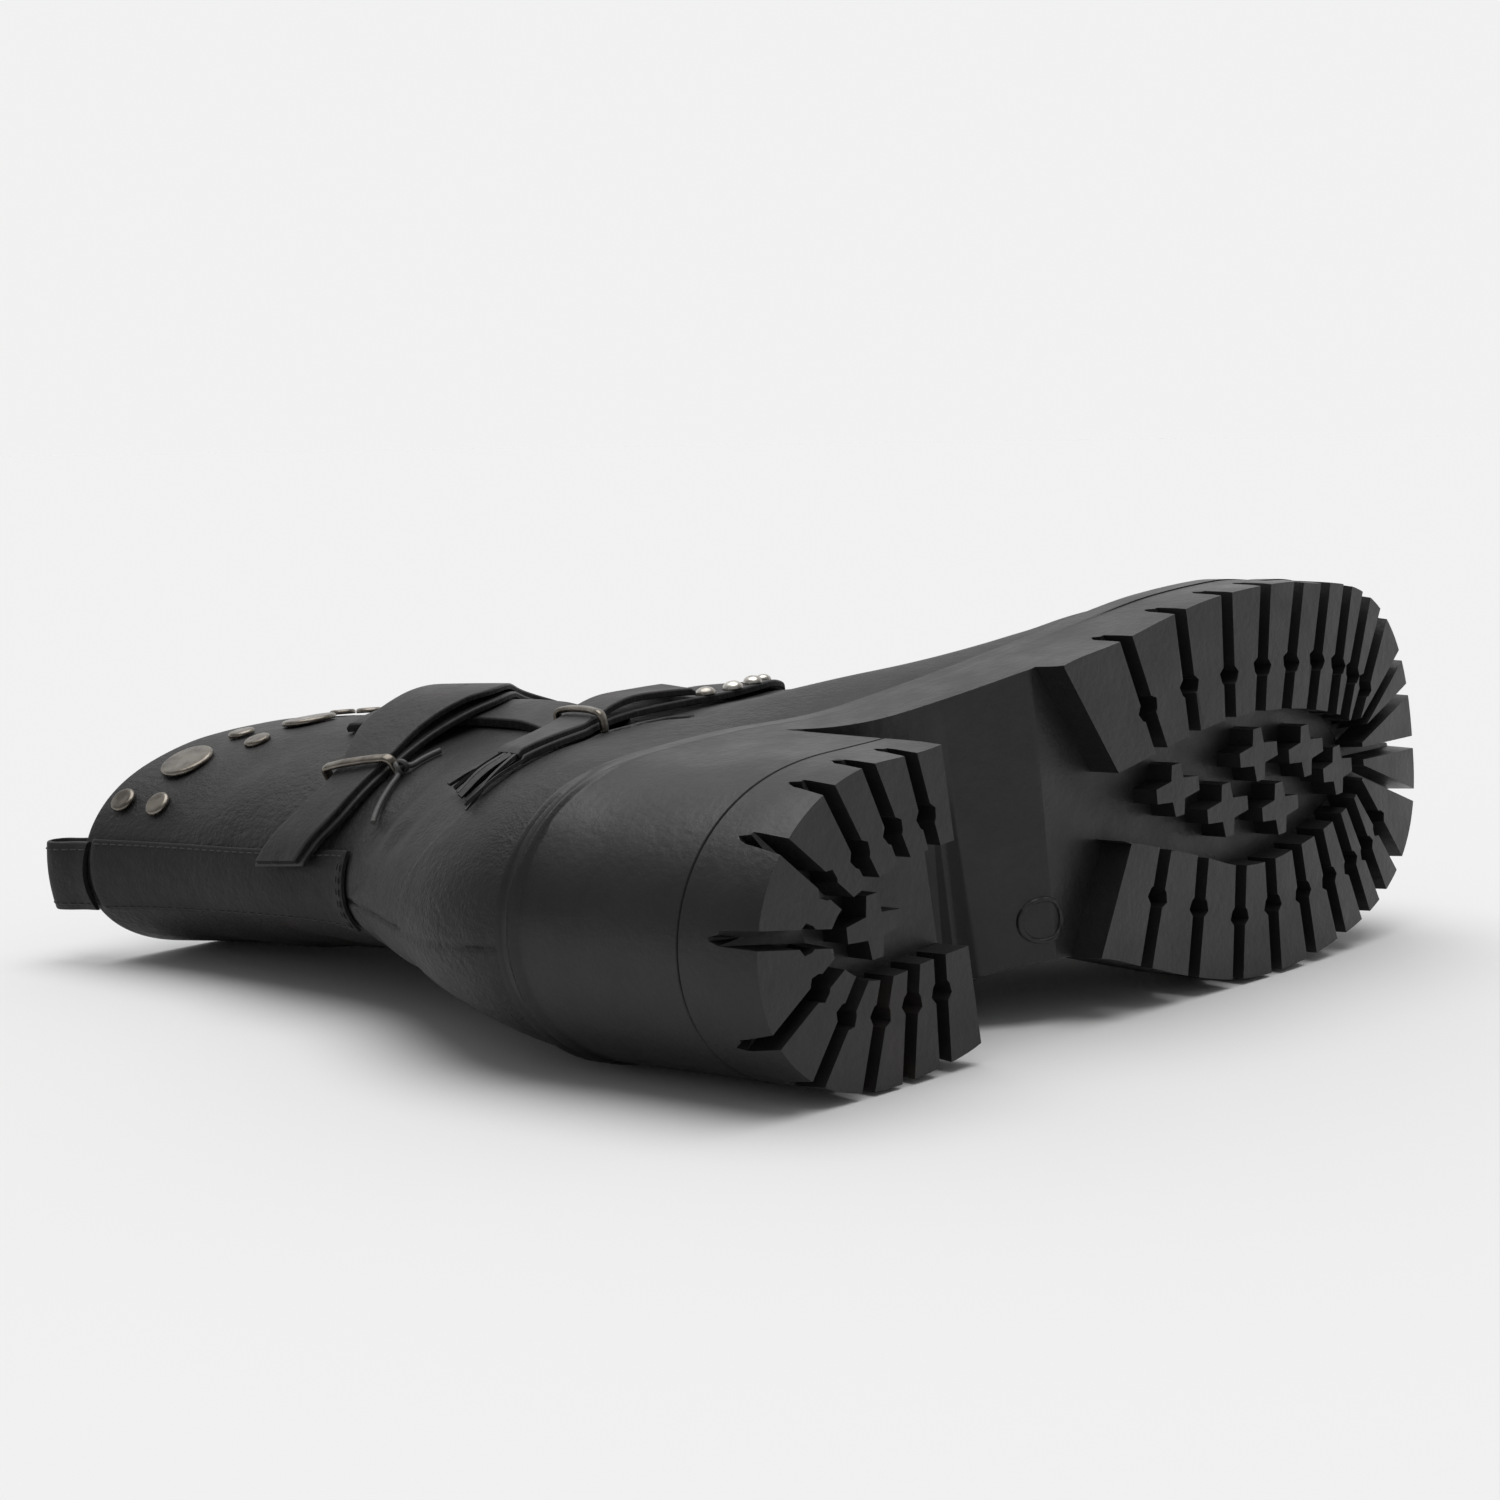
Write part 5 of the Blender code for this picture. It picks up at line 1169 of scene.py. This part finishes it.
def layer_profile(thickness, corner=EDGE_CORNER, across=18):
    """Closed section of one layer: (share, millimetres in from the edge, height, mark)."""
    arc = [(corner * (1 - math.cos(a)), thickness - corner * (1 - math.sin(a)), 0)
           for a in np.linspace(0, math.pi / 2, 4)]
    points = [(s, 0.0, 0.0, 0) for s in np.linspace(0.04, 0.96, 6)]
    points += [(1.0, 0.0, thickness * 0.12, 1), (1.0, 0.0, thickness * 0.5, 1)]
    points += [(1.0, *corner_point) for corner_point in arc]
    points += [(s, 0.0, thickness, 0) for s in np.linspace(1, 0, across)[1:-1]]
    points += [(0.0, *corner_point) for corner_point in arc[::-1]]
    return points + [(0.0, 0.0, thickness * 0.5, 1), (0.0, 0.0, thickness * 0.12, 1)]


def strap_layer(b, table, first, last, thickness, base=lambda rows: 0 * rows, inset=0.0, step=1.2,
                crown=0.0, skived=0.0):
    """One leather layer of a strap, base high over it by row; skived pares its first end."""
    rows, length = strap_rows(table, first, last, step)
    ends = np.minimum(np.arange(len(rows)), np.arange(len(rows))[::-1]) * step
    soft = 0.6 + 0.4 * np.sqrt(1 - (1 - np.clip(ends / 0.5, 0.0, 1.0)) ** 2)
    if skived:
        rows = np.concatenate((rows[:1], [rows[0] + skived / length * (last - first)], rows[3:]))
        soft = np.concatenate(([0.1, 1.0], soft[3:]))
    width = np.linalg.norm(strap_place(table, rows, 1.0, 0.0) - strap_place(table, rows, 0.0, 0.0), axis=-1)
    grid, marks = [], []
    for share, inward, height, mark in layer_profile(thickness):
        s = share - math.copysign(1.0, share - 0.5001) * (inward + inset) / width
        s = np.clip(s, inset / width, 1 - inset / width)
        swell = crown * (1 - (2 * s - 1) ** 2) * (height > thickness * 0.9)
        grid.append(strap_place(table, rows, s, base(rows) + height * soft + swell))
        marks.append(mark)
    marks = [max(pair) for pair in zip(marks, marks[1:] + marks[:1])]
    grid = np.stack(grid, axis=1)
    if skived:
        b.loft(grid[:2], mark=1)
        grid = grid[1:]
    b.loft(grid, marks=marks)


def arch_lift(rows):
    return INSTEP_LAYER - LAYER_BITE + look_up(ARCH, ARCH_COLUMNS, "gap", rows)


# How far the ankle strap's top layer stands off the lower one, by row
ANKLE_ARCH = (0.0, 0.0, 0.0, 0.0, 1.3, 1.5, 0.7, 0.2, 0.0)


def ankle_lift(rows):
    return ANKLE_LAYER + 0.02 + curve(range(len(ANKLE_ARCH)), ANKLE_ARCH, rows)


def build_ankle_strap():
    last = len(ANKLE_STRAP) - 1.0
    b = Builder()
    strap_layer(b, ANKLE_STRAP, 0.0, last, ANKLE_LAYER)
    strap_layer(b, ANKLE_STRAP, 0.10, last - 0.04, ANKLE_LAYER - 0.02, ankle_lift, 1.5, crown=0.15,
                skived=1.5)
    return b.piece("ankle_strap_leather", "ankle_strap", "leather", [STRAP, EDGE])


FRINGE_STRIPS, STRIP_STEPS = 9, 28
STRIP_WIDTH, STRIP_THICKNESS = 1.7, 0.7


def add_fringe(b):
    """Narrow strips that the strap's back end is cut into, each with its own waves."""
    spread = np.random.default_rng(7)
    across = unit(strap_place(INSTEP_STRAP, 0.0, 1.0, 0.0) - strap_place(INSTEP_STRAP, 0.0, 0.0, 0.0))
    for n, share in enumerate(np.linspace(0.05, 0.95, FRINGE_STRIPS)):
        turn, level, lift = (float(look_up(FRINGE, FRINGE_COLUMNS, name, share))
                             for name in FRINGE_COLUMNS[1:])
        high = INSTEP_LAYER * (0.4 + 0.8 * (n % 2))
        root, mouth = (strap_place(INSTEP_STRAP, row, share, high) for row in (0.3, 0.0))
        tip = over(level, turn - 0.012 * spread.random(), lift * (0.3 + 0.4 * spread.random()), 0.0)
        out = outward_at(level, turn)
        waved = (mouth + tip) / 2 + out * (0.2 + 0.6 * spread.random()) + across * (spread.random() - 0.5)
        line = fine_line([root, mouth, waved, tip], STRIP_STEPS)
        share_out = np.linspace(0, 1, STRIP_STEPS)[:, None]
        twist = (spread.random() - 0.5) * 1.6 * share_out
        side = unit(across * np.cos(twist) + out * np.sin(twist))
        thick = unit(np.cross(side, unit(np.gradient(line, axis=0)))) * STRIP_THICKNESS / 2
        side = side * STRIP_WIDTH / 2 * (1 - 0.35 * share_out ** 2)
        b.loft(np.stack((line - side - thick, line + side - thick, line + side + thick,
                         line - side + thick), axis=1), marks=(1, 1, 0, 1))


def build_instep_strap():
    b = Builder()
    strap_layer(b, INSTEP_STRAP, 0.0, len(INSTEP_STRAP) - 1.0, INSTEP_LAYER)
    strap_layer(b, INSTEP_STRAP, 0.0, ARCH[-1][0], INSTEP_LAYER, arch_lift, 0.6, crown=0.12)
    add_fringe(b)
    return b.piece("instep_strap_leather", "instep_strap", "leather", [STRAP, EDGE])


def build_band():
    """Vertical band, its lower end pared under the instep strap."""
    last = len(HARNESS_BAND) - 1.0

    def pared(rows):
        return (BAND_SKIVED - BAND_THICKNESS) * smooth((rows - last + 2.0) / 1.4)

    b = Builder()
    strap_layer(b, HARNESS_BAND, 0.0, last, BAND_THICKNESS, pared, crown=0.2)
    return b.piece("harness_band_leather", "harness_band", "leather", [STRAP, EDGE])


def build_backstay():
    """Strip up the back seam, stitched along both edges and twice across its foot."""
    last = len(BACKSTAY) - 1.0
    top = BACKSTAY_THICKNESS - 0.1
    b = Builder()
    strap_layer(b, BACKSTAY, 0.0, last, top, step=0.9)
    along, across = np.linspace(0.06, last, 160), np.linspace(0.05, 0.95, 60)
    for row, share in ((along, 0.065), (along, 0.935), (0.05, across), (0.13, across)):
        line = strap_place(BACKSTAY, row, share, top)
        stitch_row(b, line, line - strap_place(BACKSTAY, row, share, 0.0), mark=2)
    return b.piece("backstay_leather", "backstay", "leather", [BACK_LEATHER_PAINTED_SHADE, EDGE, THREAD])


def build_pull_loop():
    """Strip folded over the collar, stitched along both edges."""
    x, z, bow = evenly(LOOP, 64)
    away = unit(np.column_stack((-np.gradient(z), np.zeros_like(z), np.gradient(x))))

    def line(y, height):
        bent = x + bow * (y / LOOP_BOW_AT) ** 2
        return np.column_stack((bent, np.full_like(x, LOOP_SHIFT + y), z)) + away * height

    b = Builder()
    b.loft(np.stack([line((2 * share - 1) * (LOOP_HALF_WIDTH - inward), height)
                     for share, inward, height, _ in layer_profile(LOOP_THICKNESS, 0.35, 12)], axis=1))
    for share in (-0.8, 0.8):
        stitch_row(b, line(share * LOOP_HALF_WIDTH, LOOP_THICKNESS), away, mark=1)
    return b.piece("pull_loop_leather", "pull_loop", "leather", [BACK_LEATHER_PAINTED_SHADE, THREAD], 50.0)


KEEPER_RISE = 0.75          # of a keeper's bar over the strap


def rounded(value, power):
    return math.copysign(abs(value) ** power, value)


def build_keeper(name, node, table, row, height):
    """Rounded metal bar over a strap, its ends turned down beside the edges."""
    path = (    # share of the strap's width, height
        (-0.085, 0.0), (-0.085, height * 0.5), (-0.06, height + 0.1), (0.06, height + 0.45),
        (0.3, height + KEEPER_RISE), (0.7, height + KEEPER_RISE),
        (0.92, height + 0.45), (1.02, height + 0.1), (1.035, height * 0.5), (1.035, 0.0),
    )
    line = fine_line([strap_place(table, row, share, lift) for share, lift in path], 60)
    along = unit(strap_along(table, row, 0.5, height))
    outward = unit(np.cross(along, np.gradient(line, axis=0)))
    b = Builder()
    b.loft(np.stack([line + along * KEEPER_HALF_WIDTH * rounded(math.cos(a), 0.7)
                     + outward * KEEPER_THICKNESS * (0.5 + 0.5 * rounded(math.sin(a), 0.75))
                     for a in full_turn(16)], axis=1))
    return b.piece(name, node, "antique_nickel", [METAL], 60.0)


def turned(b, centre, axes, profile, sides):
    """A solid of revolution: axes are around, upward and outward."""
    angle = full_turn(sides)[:, None]
    ring = np.cos(angle) * axes[0] + np.sin(angle) * axes[1]
    b.loft([centre + ring * radius + axes[2] * height for radius, height in profile])


def build_discs():
    """Flat studs with a rounded edge, round the collar."""
    for number, (level, turn, radius) in enumerate(DISCS, 1):
        top = DISC_THICKNESS
        profile = [(radius - 0.1, 0.0), (radius, 0.15), (radius, top * 0.5), (radius - 0.12, top * 0.72),
                   (radius - 0.4, top * 0.92), (radius - 0.8, top), (radius * 0.5, top - 0.02),
                   (radius * 0.2, top - 0.03), (0.05, top - 0.03)]
        behind, ahead = (place(np.array(level), np.array(turn + step)) for step in (-0.01, 0.01))
        around = unit(ahead - behind)
        outward = outward_at(level, turn)
        b = Builder()
        turned(b, over(level, turn, GAP, 0.0), (around, np.cross(outward, around), outward), profile, 48)
        b.piece(f"disc_{number}", f"disc_stud_{number}", "antique_nickel", [METAL], 50.0)


def build_domes():
    """Domed studs along the instep strap."""
    for number, (row, share, radius, height) in enumerate(DOMES, 1):
        base = strap_place(INSTEP_STRAP, row, share, INSTEP_LAYER + GAP * 0.5)
        outward = unit(strap_place(INSTEP_STRAP, row, share, INSTEP_LAYER + 1.3) - base)
        around = strap_along(INSTEP_STRAP, row, share, INSTEP_LAYER)
        around = unit(around - outward * (around @ outward))
        profile = [(radius * math.cos(a), height * math.sin(a) + 0.1 * (a > 0))
                   for a in np.linspace(0, math.pi / 2 * 0.98, 12)]
        b = Builder()
        turned(b, base, (around, np.cross(outward, around), outward), profile, 40)
        b.piece(f"dome_{number}", f"dome_stud_{number}", "antique_nickel", [BRIGHT_METAL], 60.0)


KNOT_AT = 3.5               # row of the thong's table where the knot sits
KNOT_TURN, KNOT_THICKNESS = 1.15, 0.6       # radius of the knot's turns and of its cord
THONG_RELIEF = 0.3          # share of the creases that the thong follows


def build_thong():
    """Thin leather thong round the tip of the keeper, with a small knot, both ends free."""
    keys = np.linspace(0, len(KEEPER_THONG) - 1, 80)
    turn, level, lift = at_rows(KEEPER_THONG, keys)
    line = over(level, turn, lift, THONG_RELIEF)
    b = Builder()
    tube(b, line, THONG_RADIUS, 12)
    piece = new_piece("thong_cord", b.mesh("thong_cord", 60.0), [THONG])
    at = np.searchsorted(keys, KNOT_AT)
    along = unit(line[at + 2] - line[at])
    out = outward_at(KEEPER_THONG[4][1], KEEPER_THONG[4][0])
    side = np.cross(along, out)
    angle = np.linspace(0, 2 * math.pi, 30)[:, None]
    b = Builder()
    for shift, tilt in ((-0.55, 0.5), (0.55, -0.5)):
        ring = np.cos(angle) * (side + along * tilt) + np.sin(angle) * out
        tube(b, line[at] + along * shift + ring * KNOT_TURN, KNOT_THICKNESS, 10)
    knot = new_piece("thong_knot", b.mesh("thong_knot", 60.0), [THONG])
    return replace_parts(piece, "keeper_thong")


def build_insole():
    """Footbed on the sole's top, inside the upper."""
    back, front = INSOLE_INSET, SOLE_TIP - INSOLE_INSET - 2.0
    along = back + (front - back) * (0.5 - 0.5 * np.cos(np.linspace(0, math.pi, 90)))
    heel = end_cap(along - back, INSOLE_HEEL_ARC, SECTION_POWER)
    toe = end_cap(front - along, INSOLE_TOE_ARC, SECTION_POWER)
    rings = []
    for inset, lift in INSOLE_EDGE:
        halves = []
        for side in (OUTER, INNER):
            width = look_up(FEATHER, FEATHER_COLUMNS, SIDE_NAME[side], along) - INSOLE_INSET - 1.0 - inset
            y = TOE_SWING * (1 - toe) + heel * toe * side * width
            halves.append(np.column_stack((along, y, feather_z(along) + SEAT_GAP + lift)))
        rings.append(closed(halves))
    b = Builder()
    b.loft(rings)
    return b.piece("insole_cover", "insole", "lining", [LINING], 50.0)


build_sole()
build_thong()
build_upper()
build_counter()
build_ankle_strap()
build_instep_strap()
build_band()
build_backstay()
build_pull_loop()
build_keeper("ankle_keeper_bar", "ankle_keeper", ANKLE_STRAP, ANKLE_KEEPER_ROW, 2 * ANKLE_LAYER)
build_keeper("instep_keeper_bar", "instep_keeper", INSTEP_STRAP, INSTEP_KEEPER_ROW,
             2 * INSTEP_LAYER - LAYER_BITE)
build_discs()
build_domes()
build_insole()


# ---------------------------------------------------------------- floor, light and camera
PALE = 0.882                # glow of the backdrop; the lit floor looks the same
FLOOR_GREY, STAGE_RADIUS = 0.726, 9.0
TOWARDS_BACKDROP = (0.72, 0.69, 0.0)
WORLD_RAMP = (-0.25, 0.80)  # where the room turns from dim to bright, towards the backdrop
WORLD_DIM, WORLD_BRIGHT = 0.31, 0.84
SUN_ENERGY, SUN_ANGLE = 2.30, 62.0
SUN_FROM = (0.03, 0.04, 1.0)
SENSOR, LENS = 36.0, 61.5024
CAMERA_AT = (-305.95, -110.51, -321.73)
CAMERA_RIGHT = (0.690, 0.103, -0.717)
CAMERA_UP = (0.185, -0.982, 0.037)
CAMERA_VIEW = (0.700, 0.158, 0.696)


def stage_object(name, rings, material):
    """A surface of revolution about the vertical, from (radius, height) rings."""
    angles = full_turn(96)
    points = [(r * math.cos(a), r * math.sin(a), z) for r, z in rings for a in angles]
    count = len(angles)
    faces = [(a + j, a + (j + 1) % count, a + count + (j + 1) % count, a + count + j)
             for a in range(0, len(points) - count, count) for j in range(count)]
    mesh = bpy.data.meshes.new(name)
    mesh.from_pydata(points, [], faces)
    mesh.shade_smooth()
    mesh.materials.append(material)
    item = linked(name, mesh)
    return item


def stage():
    """A floor, and a plain backdrop that lights nothing."""
    floor = Nodes("pale_floor").finish(Base_Color=(FLOOR_GREY,) * 3, Roughness=0.9, Specular_IOR_Level=0.0)
    stage_object("floor", [(0.001, 0.0), (2.0, 0.0), (STAGE_RADIUS, 0.0)], floor)
    glow = Nodes("pale_backdrop").finish(Base_Color=(0.0, 0.0, 0.0), Roughness=1.0, Specular_IOR_Level=0.0,
                                         Emission_Color=(1.0, 1.0, 1.0), Emission_Strength=PALE)
    arc = [(STAGE_RADIUS * math.cos(a), STAGE_RADIUS * math.sin(a)) for a in np.linspace(0, math.pi / 2, 12)]
    backdrop = stage_object("backdrop", arc, glow)
    backdrop.visible_diffuse = backdrop.visible_glossy = backdrop.visible_shadow = False
    backdrop.visible_transmission = backdrop.visible_volume_scatter = False


def studio_light():
    """White room: bright behind the boot and overhead, dimmer on the camera's side."""
    world = bpy.data.worlds.new("studio")
    world.use_nodes = True
    tree = world.node_tree
    place = tree.nodes.new("ShaderNodeTexCoord").outputs["Generated"]
    side = tree.nodes.new("ShaderNodeVectorMath")
    side.operation = "DOT_PRODUCT"
    side.inputs[1].default_value = TOWARDS_BACKDROP
    ramp = tree.nodes.new("ShaderNodeMapRange")
    ramp.interpolation_type = "SMOOTHSTEP"
    for index, value in enumerate((*WORLD_RAMP, WORLD_DIM, WORLD_BRIGHT), 1):
        ramp.inputs[index].default_value = value
    tree.links.new(place, side.inputs[0])
    tree.links.new(side.outputs["Value"], ramp.inputs[0])
    tree.links.new(ramp.outputs[0], tree.nodes["Background"].inputs["Strength"])
    tree.nodes["Background"].inputs["Color"].default_value = (1.0, 1.0, 1.0, 1.0)
    bpy.context.scene.world = world
    data = bpy.data.lights.new("overhead", "SUN")
    data.energy, data.angle = SUN_ENERGY, math.radians(SUN_ANGLE)
    linked("overhead", data).rotation_euler = Vector(SUN_FROM).to_track_quat("Z", "Y").to_euler()


def camera():
    data = bpy.data.cameras.new("camera")
    data.sensor_width, data.lens = SENSOR, LENS
    data.clip_start, data.clip_end = 0.01, 60.0
    item = linked("camera", data)
    right, up, view = (AXES @ unit(v) for v in (CAMERA_RIGHT, CAMERA_UP, CAMERA_VIEW))
    turn = Matrix((right, up, -view)).transposed()
    item.matrix_world = Matrix.Translation(to_row(CAMERA_AT)) @ turn.to_4x4()
    bpy.context.scene.camera = item


stage()
studio_light()
camera()
bpy.context.scene.view_settings.view_transform = "Standard"
